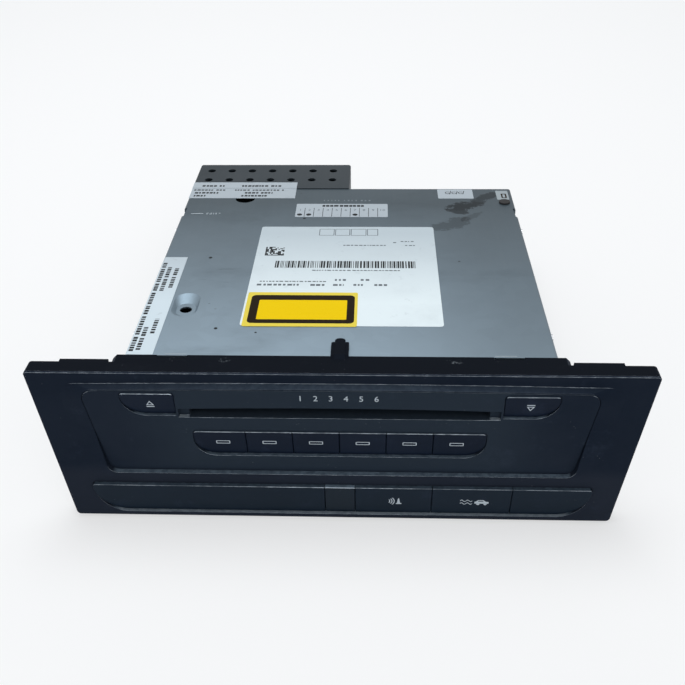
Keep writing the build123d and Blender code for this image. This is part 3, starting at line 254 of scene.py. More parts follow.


# Wear, dust, painted highlights and painted shade on the front as the photograph has them, in
# millimetres: drops from the moulding's top edge, levels over its lower edge, and distances from the
# middle to both sides
bare_rim_drops = (2.8, 3.8)
seam_drops = (8.2, 7.8, 5.8, 5.4)
low_part_levels = (30, 22)
low_ledge_levels = (4, 3)
slot_levels = (53.9, 54.3, 59.4, 60.0)
slot_ends = (61.8, 60.6)
recess_ends = (66.2, 65.4)
grey_centre_ends = (92, 56)
bright_edge_middle = (15, 42)

# Scuffs on the moulding's top: middle x, depth and reach
scuff_patches = ((-47.4, 12.3, 3.6), (46.7, 12.2, 4.2), (-38.8, 8.8, 2.0))

# Tones of dust with painted ledge highlight, of edges with rubbed wear and painted highlight, of
# specks and of scuffs
ledge_dust_and_highlight_tone = (0.15, 0.20, 0.25)
thick_dust_and_highlight_tone = (0.30, 0.34, 0.38)
edge_wear_and_highlight_tone = (0.70, 0.78, 0.86)
speck_tone = (0.16, 0.17, 0.18)
scuff_tone = (0.16, 0.18, 0.20)


def moulded_plastic(
    name, dark, light, grain_mm, rough, gloss, edge_wear_and_highlight_strength, ledge, dust=0.5, fillets=True, low=None,
    centre=None,
):
    """Fine-grained black moulding: edges paler as rubbed wear and painted highlight, dust and a
    painted highlight on the ledges, a painted shade that darkens the level top, a lower part in its
    own tone and, where asked, a greyer centre."""
    paint = Paint(name)
    x, y, z = paint.axes()
    grain = paint.grain(grain_mm)
    cloud = paint.noise(28, detail=5)
    rubbed = paint.noise(75, detail=6, rough=0.7, shift=3.1).step(0.56, 0.72)
    specks = paint.cells(420).step(0.09, 0.05) * paint.noise(60, detail=2).step(0.55, 0.66)
    lint = 0.55 + 0.45 * paint.noise(330, detail=4, rough=0.7, shift=4.4).step(0.35, 0.65)
    patchy = 0.35 + 0.65 * paint.noise(210, detail=5, rough=0.65, shift=1.7).step(0.38, 0.62)
    scuff = paint.noise(420, detail=5, rough=0.75, shift=6.6).step(0.50, 0.66)

    under_rim = z.step(*under_top(bare_rim_drops))
    seam = z.band(*under_top(seam_drops))
    low_part = z.step(*in_metres(low_part_levels))
    slot_band = z.band(*in_metres(slot_levels))
    in_slot = slot_band * x.apart(*slot_ends)
    slot_ledge = slot_band * (1 - in_slot) * x.apart(*recess_ends)
    # Edges paler as rubbed wear and painted highlight, less on the seam and away from the middle of
    # the lower part
    edge = paint.edge_wear_and_highlight(fillets) * (1 - 0.85 * seam)
    edge = edge * (1 - 0.5 * x.apart(*bright_edge_middle) * low_part)

    tone = paint.blend(cloud.step(0.3, 0.7), dark, light)
    if centre:
        tone = paint.blend(x.apart(*grey_centre_ends), tone, centre)
    tone = paint.blend(low_part * 0.45, tone, low or [1.9 * c for c in light])
    tone = paint.blend(rubbed * 0.35, tone, [1.7 * c + 0.003 for c in light])
    level_face = paint.faces_up()
    # Painted shade: level faces in the top band are darkened
    tone = paint.blend(level_face * (1 - under_rim) * 0.9, tone, [0.25 * c for c in dark])
    for middle_x, depth, reach_mm in scuff_patches:
        dx, dy = x - middle_x * MM, y - at_depth(depth)
        near = (dx * dx + 3.0 * dy * dy).step((reach_mm * MM) ** 2, 0.0)
        tone = paint.blend(near * scuff * (1 - under_rim), tone, scuff_tone)
    # Dust and a painted highlight on level ledges under the top band, less in the slot; thicker and
    # brighter on the lowest ledge and the slot's end ledges
    dusty_and_lit = level_face * under_rim * lint
    tone = paint.blend(dusty_and_lit * ledge * (1 - 0.9 * in_slot), tone, ledge_dust_and_highlight_tone)
    low_ledge = z.step(*in_metres(low_ledge_levels)) * 0.75
    tone = paint.blend((dusty_and_lit * (low_ledge + slot_ledge)).clamped(), tone, thick_dust_and_highlight_tone)
    # Pale edges: rubbed wear and painted highlight
    tone = paint.blend((edge * patchy * edge_wear_and_highlight_strength).clamped(), tone, edge_wear_and_highlight_tone)
    tone = paint.blend(specks * dust, tone, speck_tone)
    return paint.done(
        Base_Color=tone,
        Roughness=rough + 0.10 * cloud - 0.08 * rubbed,
        Specular_IOR_Level=gloss,
        Normal=paint.bump(grain, 0.03, 0.35, paint.bump(cloud, 0.2, 0.10)),
    )


# Dried spill near the rear right corner: middle x, depth, slope in radians, half length, half
# width and strength of each patch
spill_patches = (
    (73.0, 174.0, 0.85, 9.5, 3.8, 0.8), (61.0, 164.4, 0.30, 9.5, 4.6, 1.0),
    (58.0, 158.5, -0.60, 6.0, 4.0, 0.9), (54.0, 142.0, 0.55, 11.0, 5.5, 0.5),
    (65.0, 151.0, 0.70, 7.0, 2.4, 0.35),
)

# Painted shade and reflection: the cover darkens to the rear from this depth over this length, and
# to the right between two x
cover_fade_depth_mm, cover_fade_length_mm = 20, 170
cover_shade_mm = (10, 80)


def spill_mask(paint, x, y):
    """1 where the spill dried, with a ragged edge."""
    wobble = 5.2 * paint.noise(120, detail=6, rough=0.72) - 2.6
    spill = 0
    for middle_x, depth, slope, long_mm, wide_mm, strength in spill_patches:
        run, fall = cos(slope), sin(slope)
        dx, dy = x - middle_x * MM, y - at_depth(depth)
        along = (dx * run + dy * fall) / (long_mm * MM)
        across = (dy * run - dx * fall) / (wide_mm * MM)
        reach = along ** 2 + across ** 2
        spill = spill + (reach + wobble).step(1.3, 0.7) * strength
    return spill.clamped()


def zinc_sheet(name, front_tone, rear_tone, rough, stained=False):
    """Zinc-plated sheet: faint spangle, rolling lines, smears, specks, thin scratches, and a painted
    shade that darkens it to the rear and to the right.
    """
    paint = Paint(name)
    x, y = paint.axes()[:2]
    cloud = paint.noise(16, detail=6, rough=0.6)
    smear = paint.noise(9, detail=5, rough=0.65, stretch=(1.0, 2.2, 1.0), shift=7.0)
    rolling = paint.noise(420, detail=3, stretch=(1.0, 0.02, 0.3))
    spangle = paint.cells(150, output="Color")
    crowded = paint.noise(21, detail=2, shift=2.0).step(0.50, 0.62)
    specks = paint.cells(95).step(0.075, 0.04) * crowded
    long_marks = paint.noise(90, detail=3, stretch=(0.5, 6.0, 1.0), shift=1.3).step(0.70, 0.73)
    cross_marks = paint.noise(80, detail=3, stretch=(6.0, 0.6, 1.0), shift=5.7).step(0.71, 0.74)
    gathered = paint.noise(30, detail=1, shift=9.0).step(0.5, 0.65)
    scratches = ((long_marks + cross_marks) * gathered).clamped()
    # Painted shade: lighter at the front, darker to the rear and to the right
    share = (y - at_depth(cover_fade_depth_mm)) / (cover_fade_length_mm * MM)
    shaded = x.step(*in_metres(cover_shade_mm))
    tone = paint.blend((1.12 * share + 0.25 * cloud - 0.10).clamped(), front_tone, rear_tone)
    tone = paint.blend(shaded * 0.42, tone, [0.8 * c for c in rear_tone])
    tone = paint.blend(smear.step(0.52, 0.75) * 0.35, tone, [0.55 * c for c in rear_tone])
    tone = paint.blend(spangle * 0.07, tone, [0.6 * c for c in rear_tone])
    tone = paint.blend(specks * 0.75, tone, [0.18 * c for c in rear_tone])
    tone = paint.blend(scratches * 0.35, tone, [0.5 * c for c in rear_tone])
    surface = rough + 0.14 * smear - 0.10 * cloud + 0.05 * rolling
    if stained:
        spill = spill_mask(paint, x, y)
        tone = paint.blend(spill * 0.9, tone, [0.20 * c for c in rear_tone])
        surface = surface + 0.12 * spill
    bumps = paint.bump(rolling, 0.012, 0.35, paint.bump(cloud, 0.5, 0.12))
    return paint.done(
        Base_Color=tone, Metallic=0.92, Roughness=surface.clamped(), Normal=bumps,
    )


# Painted shade: foil is as printed up to this depth, and fully shaded after this length more
foil_shade_depth_mm, foil_shade_length_mm = 60, 70


def foil_label(name, tone, soiled, rough, rear_shade_tone=None, gloss=0.4):
    """Printed foil: faint waves from the backing, rubbed, and darker to the rear as painted shade.
    """
    paint = Paint(name)
    cloud = paint.noise(34, detail=5, rough=0.6)
    scuff = paint.noise(160, detail=4, rough=0.7, shift=2.0).step(0.6, 0.72)
    y = paint.axes()[1]
    back = ((y - at_depth(foil_shade_depth_mm)) / (foil_shade_length_mm * MM)).clamped()
    shade = paint.blend(back, tone, rear_shade_tone) if rear_shade_tone else tone
    shade = paint.blend(cloud.step(0.45, 0.8) * 0.35, shade, soiled)
    shade = paint.blend(scuff * 0.25, shade, [0.8 * c for c in soiled])
    waves = paint.noise(48, detail=3)
    return paint.done(
        Base_Color=shade, Roughness=rough + 0.2 * scuff, Specular_IOR_Level=gloss,
        Normal=paint.bump(waves, 0.15, 0.35),
    )


def printed_ink(name, tone, worn_tone, glow=0.0, gloss=0.25):
    """Screen print that is thinner in places; where a glow is given, the print glows as painted
    light.
    """
    paint = Paint(name)
    thin = paint.noise(900, detail=4, rough=0.7).step(0.52, 0.75)
    shade = paint.blend(thin * 0.5, tone, worn_tone)
    sockets = {"Base_Color": shade, "Roughness": 0.5 + 0.15 * thin, "Specular_IOR_Level": gloss}
    if glow:
        sockets.update(Emission_Color=shade, Emission_Strength=glow)
    return paint.done(**sockets)


def turned_metal(name, tone, rough, lines=(1, 1, 1)):
    """Bright steel, brass or a pressed can, with fine tool lines and light tarnish."""
    paint = Paint(name)
    tool = paint.noise(1500, detail=2, stretch=lines)
    tarnish = paint.noise(110, detail=5, rough=0.65).step(0.45, 0.8)
    shade = paint.blend(tarnish * 0.45, tone, [0.55 * c for c in tone])
    return paint.done(
        Base_Color=shade, Metallic=1.0, Roughness=rough + 0.22 * tarnish + 0.06 * tool,
        Normal=paint.bump(tool, 0.008, 0.4),
    )


def plain_plastic(name, tone, rough, gloss=0.35, grain_mm=0.25):
    """Inner plastic part: soft colour variation, fine grain and a few dull patches."""
    paint = Paint(name)
    grain = paint.grain(grain_mm)
    patch = paint.noise(90, detail=5, rough=0.6)
    shade = paint.blend(patch.step(0.35, 0.75), tone, [0.72 * c for c in tone])
    return paint.done(
        Base_Color=shade, Roughness=rough + 0.12 * patch, Specular_IOR_Level=gloss,
        Normal=paint.bump(grain, 0.02, 0.3),
    )


def rubber(name):
    """Black rubber with a pale bloom."""
    paint = Paint(name)
    grain = paint.noise(2400, detail=3)
    bloom = paint.noise(120, detail=4).step(0.5, 0.8)
    shade = paint.blend(bloom * 0.6, (0.012, 0.012, 0.013), (0.045, 0.045, 0.047))
    return paint.done(
        Base_Color=shade, Roughness=0.62 + 0.2 * bloom, Specular_IOR_Level=0.25,
        Normal=paint.bump(grain, 0.03, 0.5),
    )


def circuit_board(name):
    """Green solder mask with lighter tracks under it and rows of small pads."""
    paint = Paint(name)
    lanes = paint.node(
        "ShaderNodeTexBrick", {"offset": 0.5, "squash": 1.0},
        {
            "Vector": paint.point(), "Color1": (1, 1, 1), "Color2": (0.75, 0.75, 0.75),
            "Mortar": (0, 0, 0), "Scale": 160.0, "Mortar Size": 0.012, "Brick Width": 0.9,
            "Row Height": 0.22,
        },
    )
    tracks = paint.noise(170, detail=1, stretch=(1.0, 0.12, 1.0)).step(0.53, 0.56)
    cross = paint.noise(150, detail=1, stretch=(0.12, 1.0, 1.0), shift=4.0).step(0.55, 0.58)
    pads = paint.cells(330).step(0.16, 0.12) * paint.noise(45, detail=1).step(0.5, 0.56)
    tone = paint.blend((tracks + cross).clamped() * 0.6, (0.010, 0.075, 0.035), (0.030, 0.16, 0.075))
    tone = paint.blend(lanes * 0.12, tone, (0.02, 0.11, 0.05))
    tone = paint.blend(pads, tone, (0.55, 0.55, 0.52))
    return paint.done(
        Base_Color=tone, Metallic=pads * 0.8, Roughness=0.32 + 0.1 * pads,
        Specular_IOR_Level=0.5, Normal=paint.bump((tracks + cross).clamped(), 0.03, 0.5),
    )


def lens_glass(name):
    """Small dark lens with a violet coat."""
    paint = Paint(name)
    coat = paint.noise(600, detail=2)
    return paint.done(
        Base_Color=paint.blend(coat, (0.03, 0.05, 0.12), (0.06, 0.07, 0.17)),
        Roughness=0.04 + 0.05 * coat, Specular_IOR_Level=0.7,
    )


def flat_cable(name):
    """White flat cable with its row of conductors."""
    paint = Paint(name)
    wire_pitch_mm, half_pitch = 1.0, 0.5
    x = paint.axes()[0]
    wires = paint.node(
        "ShaderNodeMath", {"operation": "PINGPONG"}, [x / (wire_pitch_mm * MM), half_pitch]
    ).step(0.32, 0.42)
    return paint.done(
        Base_Color=paint.blend(wires, (0.62, 0.62, 0.60), (0.40, 0.38, 0.34)),
        Roughness=0.4 + 0.1 * wires, Normal=paint.bump(wires, 0.05, 0.5),
    )


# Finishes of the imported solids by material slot, then those of the added pieces
materials = {
    "black_moulding": moulded_plastic(
        "moulded_black", dark=(0.0094, 0.0150, 0.0265), light=(0.0146, 0.0208, 0.0335),
        low=(0.029, 0.034, 0.047), grain_mm=0.30, rough=0.50, gloss=0.02, edge_wear_and_highlight_strength=0.85, ledge=0.85,
        fillets=False,
    ),
    "black_keys": moulded_plastic(
        "key_black", dark=(0.0062, 0.0114, 0.0235), light=(0.0092, 0.0158, 0.0310),
        low=(0.0135, 0.0250, 0.0350), grain_mm=0.24, rough=0.42, gloss=0.05, edge_wear_and_highlight_strength=1.0, ledge=0.35,
        dust=0.3,
    ),
    "dark_window": moulded_plastic(
        "tinted_window", dark=(0.0058, 0.0104, 0.0200), light=(0.0098, 0.0158, 0.0280),
        low=(0.0150, 0.0265, 0.0360), grain_mm=0.12, rough=0.30, gloss=0.06, edge_wear_and_highlight_strength=2.6, ledge=1.0,
    ),
    "black_nylon": plain_plastic("black_nylon", (0.016, 0.017, 0.019), 0.48),
    "zinc_sheet": zinc_sheet(
        "zinc_sheet", front_tone=(0.228, 0.298, 0.356), rear_tone=(0.061, 0.085, 0.103), rough=0.42,
        stained=True,
    ),
    "dark_zinc_sheet": zinc_sheet(
        "hood_sheet", front_tone=(0.062, 0.079, 0.093), rear_tone=(0.029, 0.040, 0.049), rough=0.48
    ),
    "green_board": circuit_board("green_board"),
    "switch_body": plain_plastic("switch_black", (0.02, 0.02, 0.022), 0.35, 0.5),
    "steel": turned_metal("bright_steel", (0.55, 0.56, 0.58), 0.28),
    "black_rubber": rubber("black_rubber"),
    "white_acetal": plain_plastic("white_acetal", (0.74, 0.72, 0.66), 0.36, 0.5),
    "motor_can": turned_metal("motor_can", (0.46, 0.47, 0.48), 0.34, lines=(1.0, 1.0, 0.08)),
    "grey_plastic": plain_plastic("grey_plastic", (0.085, 0.090, 0.098), 0.50),
    "brass_pins": turned_metal("tinned_brass", (0.66, 0.55, 0.33), 0.26),
    "brown_plastic": plain_plastic("brown_plastic", (0.085, 0.036, 0.018), 0.42, 0.45),
    "lens_glass": lens_glass("lens_glass"),
    "flat_cable": flat_cable("flat_cable"),
    "chip_black": plain_plastic("chip_black", (0.014, 0.014, 0.015), 0.55, 0.3, 0.12),
    "capacitor_can": turned_metal("capacitor_can", (0.60, 0.61, 0.62), 0.30),
}
white_foil = foil_label(
    "white_foil", (0.74, 0.82, 0.84), (0.46, 0.52, 0.55), rough=0.38, rear_shade_tone=(0.45, 0.52, 0.56)
)
seal_foil = foil_label(
    "seal_foil", (0.60, 0.69, 0.74), (0.38, 0.43, 0.46), rough=0.46, rear_shade_tone=(0.37, 0.42, 0.46)
)
yellow_foil = foil_label(
    "yellow_foil", (0.76, 0.60, 0.07), (0.60, 0.50, 0.10), rough=0.50, gloss=0.12
)
yellow_ink = printed_ink("yellow_ink", (0.83, 0.56, 0.002), (0.76, 0.50, 0.004), gloss=0.04)
frame_ink = printed_ink("frame_ink", (0.012, 0.006, 0.001), (0.022, 0.012, 0.003), gloss=0.04)
dark_ink = printed_ink("dark_ink", (0.010, 0.012, 0.014), (0.050, 0.055, 0.060), gloss=0.1)
grey_ink = printed_ink("grey_ink", (0.110, 0.130, 0.145), (0.21, 0.24, 0.26), gloss=0.15)
# The key print glows faintly: painted light
key_ink = printed_ink("key_ink", (0.50, 0.56, 0.61), (0.34, 0.39, 0.43), glow=0.06)
pale_ink = printed_ink("pale_ink", (0.50, 0.56, 0.60), (0.26, 0.30, 0.33), gloss=0.1)
faint_ink = printed_ink("faint_ink", (0.155, 0.185, 0.205), (0.10, 0.125, 0.14), gloss=0.1)
bright_zinc = turned_metal("bright_zinc", (0.30, 0.35, 0.38), 0.45)
greyer_moulding = moulded_plastic(
    "panel_black", dark=(0.0110, 0.0172, 0.0295), light=(0.0166, 0.0236, 0.0370),
    centre=(0.0225, 0.0325, 0.0465), grain_mm=0.30, rough=0.52, gloss=0.03, edge_wear_and_highlight_strength=0.9, ledge=0.8,
)
own_finish = {"control_panel": greyer_moulding}

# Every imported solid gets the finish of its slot, or its own
for row in frame["record"]["subparts"]:
    mesh = nodes[row["node"]].data
    mesh.materials.clear()
    mesh.materials.append(own_finish.get(row["node"], materials[row["material_slot"]]))


# Small builders


def add_piece(name, mesh, material, body="unit"):
    """New object for a mesh in the model's frame, riding on a body."""
    mesh.materials.clear()
    mesh.materials.append(material)
    piece = bpy.data.objects.new(name, mesh)
    bpy.context.scene.collection.objects.link(piece)
    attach(piece, body)


def box(low_x, low_y, high_x, high_y):
    """Outline of a plain rectangle."""
    return [(low_x, low_y), (high_x, low_y), (high_x, high_y), (low_x, high_y)]


def rounded(low_x, low_y, high_x, high_y, radius):
    """Outline of a rectangle with round corners."""
    corner_steps, points = 5, []
    corners = (
        (high_x - radius, low_y + radius, -90), (high_x - radius, high_y - radius, 0),
        (low_x + radius, high_y - radius, 90), (low_x + radius, low_y + radius, 180),
    )
    for x, y, start in corners:
        for k in range(corner_steps + 1):
            turn = radians(start + 90 * k / corner_steps)
            points.append((x + radius * cos(turn), y + radius * sin(turn)))
    return points


def inset_pair(low_x, low_y, high_x, high_y, radius, line):
    """Outer and inner outline of a frame whose line has that width."""
    smallest_radius = 0.05
    inner = rounded(
        low_x + line, low_y + line, high_x - line, high_y - line,
        max(radius - line, smallest_radius),
    )
    return [rounded(low_x, low_y, high_x, high_y, radius), inner]


def disc(centre, radius, corners=12):
    """Outline of a full disc."""
    turns = [2 * pi * k / corners for k in range(corners)]
    return [(centre[0] + radius * cos(t), centre[1] + radius * sin(t)) for t in turns]


def arc_band(centre, radius, line, start, end, steps=10):
    """Outline of an arc drawn with a line of that width."""
    outer, inner = [], []
    for k in range(steps + 1):
        turn = radians(start + (end - start) * k / steps)
        for ring, reach in ((outer, radius + line / 2), (inner, radius - line / 2)):
            ring.append((centre[0] + reach * cos(turn), centre[1] + reach * sin(turn)))
    return outer + inner[::-1]


def stroke(start, end, line):
    """Outline of a straight stroke."""
    along = Vector((end[0] - start[0], end[1] - start[1])).normalized()
    side = Vector((-along.y, along.x)) * line / 2
    return [
        (start[0] - side.x, start[1] - side.y), (end[0] - side.x, end[1] - side.y),
        (end[0] + side.x, end[1] + side.y), (start[0] + side.x, start[1] + side.y),
    ]


def solid_of(curve, low, high):
    """Closed mesh of a flat drawing, from height low to high in metres."""
    weld_distance = 1e-7
    curve.extrude = (high - low) / 2
    holder = bpy.data.objects.new(curve.name, curve)
    mesh = bpy.data.meshes.new_from_object(holder)
    bpy.data.objects.remove(holder)
    mesh.transform(Matrix.Translation((0, 0, (low + high) / 2)))
    made = bmesh.new()
    made.from_mesh(mesh)
    bmesh.ops.remove_doubles(made, verts=made.verts, dist=weld_distance)
    bmesh.ops.recalc_face_normals(made, faces=made.faces)
    made.to_mesh(mesh)
    made.free()
    return mesh


def filled(outlines, low, high):
    """Thin solid of outlines in millimetres; a loop inside another one is a hole."""
    curve = bpy.data.curves.new("outline", "CURVE")
    curve.dimensions, curve.fill_mode = "2D", "BOTH"
    for outline in outlines:
        spline = curve.splines.new("POLY")
        spline.points.add(len(outline) - 1)
        for point, (x, y) in zip(spline.points, outline):
            point.co = (x * MM, y * MM, 0, 1)
        spline.use_cyclic_u = True
    return solid_of(curve, low, high)


def lettering(text, height_mm, low, high):
    """Thin solid of plain figures, centred, in the built-in face."""
    figure_share = 0.73
    curve = bpy.data.curves.new("figures", "FONT")
    curve.body, curve.size = text, height_mm * MM / figure_share
    curve.align_x, curve.align_y = "CENTER", "CENTER"
    curve.space_character = 1.1
    curve.resolution_u = 3
    return solid_of(curve, low, high)


def joined(meshes):
    """One mesh that holds all the given ones."""
    made = bmesh.new()
    for mesh in meshes:
        made.from_mesh(mesh)
    whole = bpy.data.meshes.new("joined")
    made.to_mesh(whole)
    made.free()
    return whole


def front_face(node):
    """A point and the outward normal of the largest flat face that a node turns forward."""
    forward_limit = -0.9
    groups = {}
    for face in nodes[node].data.polygons:
        if face.normal.y < forward_limit:
            offset = face.normal.dot(face.center)
            key = tuple(round(value, 3) for value in face.normal) + (round(offset, 5),)
            groups.setdefault(key, []).append(face)
    largest = max(groups.values(), key=lambda group: sum(face.area for face in group))
    total = sum(face.area for face in largest)
    middle = sum((face.center * face.area for face in largest), Vector()) / total
    return middle, largest[0].normal.copy()


def print_on(name, node, x_mm, drop_mm, meshes, body=None):
    """Prints a drawing on a node's front face, its origin at x and that far under the moulding's
    top edge. It rides on the body of the same name, or on the one given."""
    middle, normal = front_face(node)
    side = Vector((1, 0, 0))
    up = normal.cross(side)
    origin = middle + up * ((bezel_top - drop_mm * MM - middle.z) / up.z)
    origin.x = x_mm * MM
    mesh = joined(meshes)
    mesh.transform(Matrix.Translation(origin) @ Matrix((side, up, normal)).transposed().to_4x4())
    add_piece(name, mesh, key_ink, body or node)


def face_print(*outlines):
    """Thin print of outlines around the surface that carries them."""
    return filled(outlines, -face_ink_wall, face_ink_wall)


# Framed disc windows
disc_key_count, disc_key_pitch, disc_drop = 6, 19.35, 35.3
window_width, window_height, window_line, window_corner = 5.8, 2.0, 0.35, 0.35
window_frame = inset_pair(
    -window_width / 2, -window_height / 2, window_width / 2, window_height / 2, window_corner,
    window_line,
)
for place in range(disc_key_count):
    middle_x = (place - (disc_key_count - 1) / 2) * disc_key_pitch
    print_on(
        f"disc_window_{place + 1}", f"disc_button_{place + 1}", middle_x, disc_drop,
        [face_print(*window_frame)],
    )


def tray_sign(way):
    """Triangle over a bar, or turned over where way is -1."""
    outer = [(-1.6, -0.6 * way), (1.6, -0.6 * way), (0, 2.05 * way)]
    inner = [(-0.98, -0.24 * way), (0.98, -0.24 * way), (0, 1.38 * way)]
    return [face_print(outer, inner), face_print(box(-1.6, -1.75 * way, 1.6, -1.3 * way))]


# Eject sign, and the load sign as the same turned over
sign_drop, eject_x, load_x = 14.6, -76.2, 76.5
print_on("eject_sign", "eject_button", eject_x, sign_drop, tray_sign(1))
print_on("load_sign", "load_button", load_x, sign_drop, tray_sign(-1))

# Parking aid: waves in front of a small cone
switch_drop, parking_x, stability_x = 65.6, 22.4, 57.3
waves = [arc_band((-2.6, 0), 1.5 + 0.95 * k, 0.4, -42, 42) for k in range(3)]
cone = [(1.5, -1.9), (3.9, -1.9), (3.9, -1.3), (3.35, -1.3), (2.85, 2.0), (2.45, 2.0), (1.95, -1.3),
        (1.5, -1.3)]
print_on(
    "parking_sign", "parking_button", parking_x, switch_drop,
    [face_print(shape) for shape in (*waves, cone)],
)


def skid_mark(middle_y):
    """One wavy track as a band."""
    start_x, step_x, swing, line = -6.0, 0.43, 0.55, 0.42
    upper, lower = [], []
    for k in range(13):
        x, y = start_x + k * step_x, middle_y + swing * sin(pi * k / 3)
        upper.append((x, y + line / 2))
        lower.append((x, y - line / 2))
    return upper + lower[::-1]


# Stability aid: a small car seen from the side in front of two wavy tracks
car = [(0.2, -0.9), (6.2, -0.9), (6.2, 0.25), (4.9, 0.45), (3.9, 1.5), (1.6, 1.5), (0.8, 0.45),
       (0.2, 0.35)]
car_window = [(1.45, 0.5), (4.2, 0.5), (3.6, 1.1), (1.85, 1.1)]
wheels = [disc((x, -1.25), 0.69, 16) for x in (1.7, 4.8)]
print_on(
    "stability_sign", "stability_button", stability_x, switch_drop,
    [face_print(skid_mark(0.95), skid_mark(-0.95)), face_print(car, car_window)]
    + [face_print(wheel) for wheel in wheels],
)

# Plain numbers over the slot
numbers_height, numbers_drop = 2.9, 10.8
numbers = lettering("   ".join("123456"), numbers_height, -face_ink_wall, face_ink_wall)
print_on("slot_numbers", "control_panel", 0.0, numbers_drop, [numbers], "unit")

# Labels on the cover, drawn in x and depth
foil_low, foil_high = cover_top - foil_sunk, cover_top + foil_wall
print_low, print_high = foil_high - ink_wall, foil_high + ink_wall
bare_drop = cover_top - print_low


def on_cover(outlines, low, high):
    """Thin solid of outlines in x and depth, both in millimetres."""
    face_mm = face_y / MM
    return filled([[(x, y + face_mm) for x, y in outline] for outline in outlines], low, high)


def plate(name, edges, corner, material, lift=0.0):
    """Foil or thin plate between low x, low depth, high x and high depth."""
    outline = rounded(*edges, corner)
    add_piece(name, on_cover([outline], foil_low + lift, foil_high + lift), material)


def ink_on_cover(name, outlines, material, lift=0.0):
    """Print on a foil, or on what lies higher or lower by the lift."""
    add_piece(name, on_cover(outlines, print_low + lift, print_high + lift), material)


def print_lines(rows, height, shortest, longest, gap, grouped=False):
    """Rows that read as small print from afar: plain dashes between a start and an end x, in
    groups of four to eight where asked."""
    group_sizes, group_gap, last_room = (4, 8), 1.1, 0.3
    dashes = []
    for depth, start, stop in rows:
        cursor, left = start, random.randint(*group_sizes)
        while cursor < stop - last_room:
            dash = min(random.uniform(shortest, longest), stop - cursor)
            dashes.append(box(cursor, depth - height / 2, cursor + dash, depth + height / 2))
            cursor += dash + random.uniform(gap, 2 * gap)
            left -= 1
            if grouped and left == 0:
                cursor, left = cursor + group_gap, random.randint(*group_sizes)
    return dashes


def turned(outlines):
    """Outlines with their two axes changed round, for rows that run along the unit."""
    return [[(y, x) for x, y in outline] for outline in outlines]


random.seed(7)

# Main label: ruled strip, checked square, boxes and rows of dashes
plate("main_label", (-44.2, 40, 44, 138), 1.5, white_foil)
strip_edges = (-33.8, 93.0, 33.5, 100.0)
strip, cursor = [], strip_edges[0]
while cursor < strip_edges[2]:
    bar = random.choice((0.3, 0.3, 0.6, 0.9))
    strip.append(box(cursor, strip_edges[1], cursor + bar, strip_edges[3]))
    cursor += bar + random.choice((0.35, 0.35, 0.7))
ink_on_cover("label_ruled_strip", strip, dark_ink)
check_x, check_depth, check_cell, check_count = -39.8, 105.6, 0.78, 12
check_fill, check_share = 0.96, 0.48
checks = [
    box(check_x + check_cell * i, check_depth + check_cell * j,
        check_x + check_cell * (i + check_fill), check_depth + check_cell * (j + check_fill))
    for i in range(check_count) for j in range(check_count)
    if i == 0 or j == 0 or random.random() < check_share
]
ink_on_cover("label_checks", checks, dark_ink)
boxes = []
box_low, box_high, box_corner, box_line = 127.9, 135.4, 0.3, 0.35
for left, right in ((-14.3, -6.6), (-6.2, 1.4), (1.8, 9.7), (10.1, 15.7)):
    boxes += inset_pair(left, box_low, right, box_high, box_corner, box_line)
ink_on_cover("label_boxes", boxes, grey_ink)
small_rows = (
    (121.3, 27.0, 34.3), (116.9, 29.1, 34.1), (120.0, 23.2, 25.0), (116.9, -1.6, 19.5),
    (90.5, -15.6, 26.0), (79.5, -39.5, -8.5),
)
large_rows = (
    (81.1, -4.4, 1.3), (81.2, 7.6, 12.4), (76.3, -40.5, -21.0), (76.2, -15.6, -9.1),
    (76.3, -5.1, -0.2), (76.4, 4.3, 8.9), (76.4, 14.0, 21.0),
)
ink_on_cover("label_small_print", print_lines(small_rows, 0.9, 0.6, 1.8, 0.4), grey_ink)
ink_on_cover("label_print", print_lines(large_rows, 1.7, 0.8, 2.2, 0.5), grey_ink)

# Yellow label on the main one, with a dark frame, bare inside
plate("yellow_label", (-43.3, 39.3, 6.6, 69.0), 1.0, yellow_foil, foil_wall)
field = rounded(-37.6, 45.1, 1.9, 62.0, 0.5)
frame_edge = rounded(-41.4, 41.9, 5.3, 66.4, 2.2)
ink_on_cover("yellow_label_frame", [frame_edge, field], frame_ink, foil_wall)
ink_on_cover("yellow_label_field", [field], yellow_ink, foil_wall)

# Test sticker: ten numbered places, three of them marked
test_left, place_count, place_pitch = -28.3, 10, 4.86
divider_half, divider_low, divider_high = 0.14, 150.4, 161.2
figure_height, figure_depth = 2.2, 158.6
dot_places, dot_depth, dot_radius = (-26.0, -21.1, 3.5), 152.9, 1.39
plate("test_sticker", (test_left, 150.0, 20.8, 166.6), 0.8, seal_foil)
divider_places = [test_left + place_pitch * k for k in range(1, place_count)]
dividers = [
    box(x - divider_half, divider_low, x + divider_half, divider_high) for x in divider_places
]
ink_on_cover("test_dividers", dividers, dark_ink)
ink_on_cover("test_heading", print_lines(((164.0, -14.3, 8.0),), 2.2, 1.2, 2.4, 0.35), dark_ink)
figures = []
for k in range(place_count):
    figure = lettering(str(k + 1), figure_height, print_low, print_high)
    middle_x = (test_left + place_pitch * (k + 0.5)) * MM
    figure.transform(Matrix.Translation((middle_x, at_depth(figure_depth), 0)))
    figures.append(figure)
add_piece("test_figures", joined(figures), grey_ink)
dots = [disc((x, dot_depth), dot_radius, 20) for x in dot_places]
ink_on_cover("test_dots", dots, dark_ink)

# Small sticker near the rear edge, with pen strokes
plate("rear_sticker", (48.5, 173.9, 67.8, 186.2), 0.6, seal_foil)
pen = []
for x in (54.0, 57.6, 61.2):
    pen.append(arc_band((x, 181.5), 1.25, 0.45, 40, 330, 12))
    pen.append(stroke((x + 1.1, 179.6), (x + 1.9, 184.0), 0.4))
ink_on_cover("rear_sticker_strokes", pen, dark_ink)

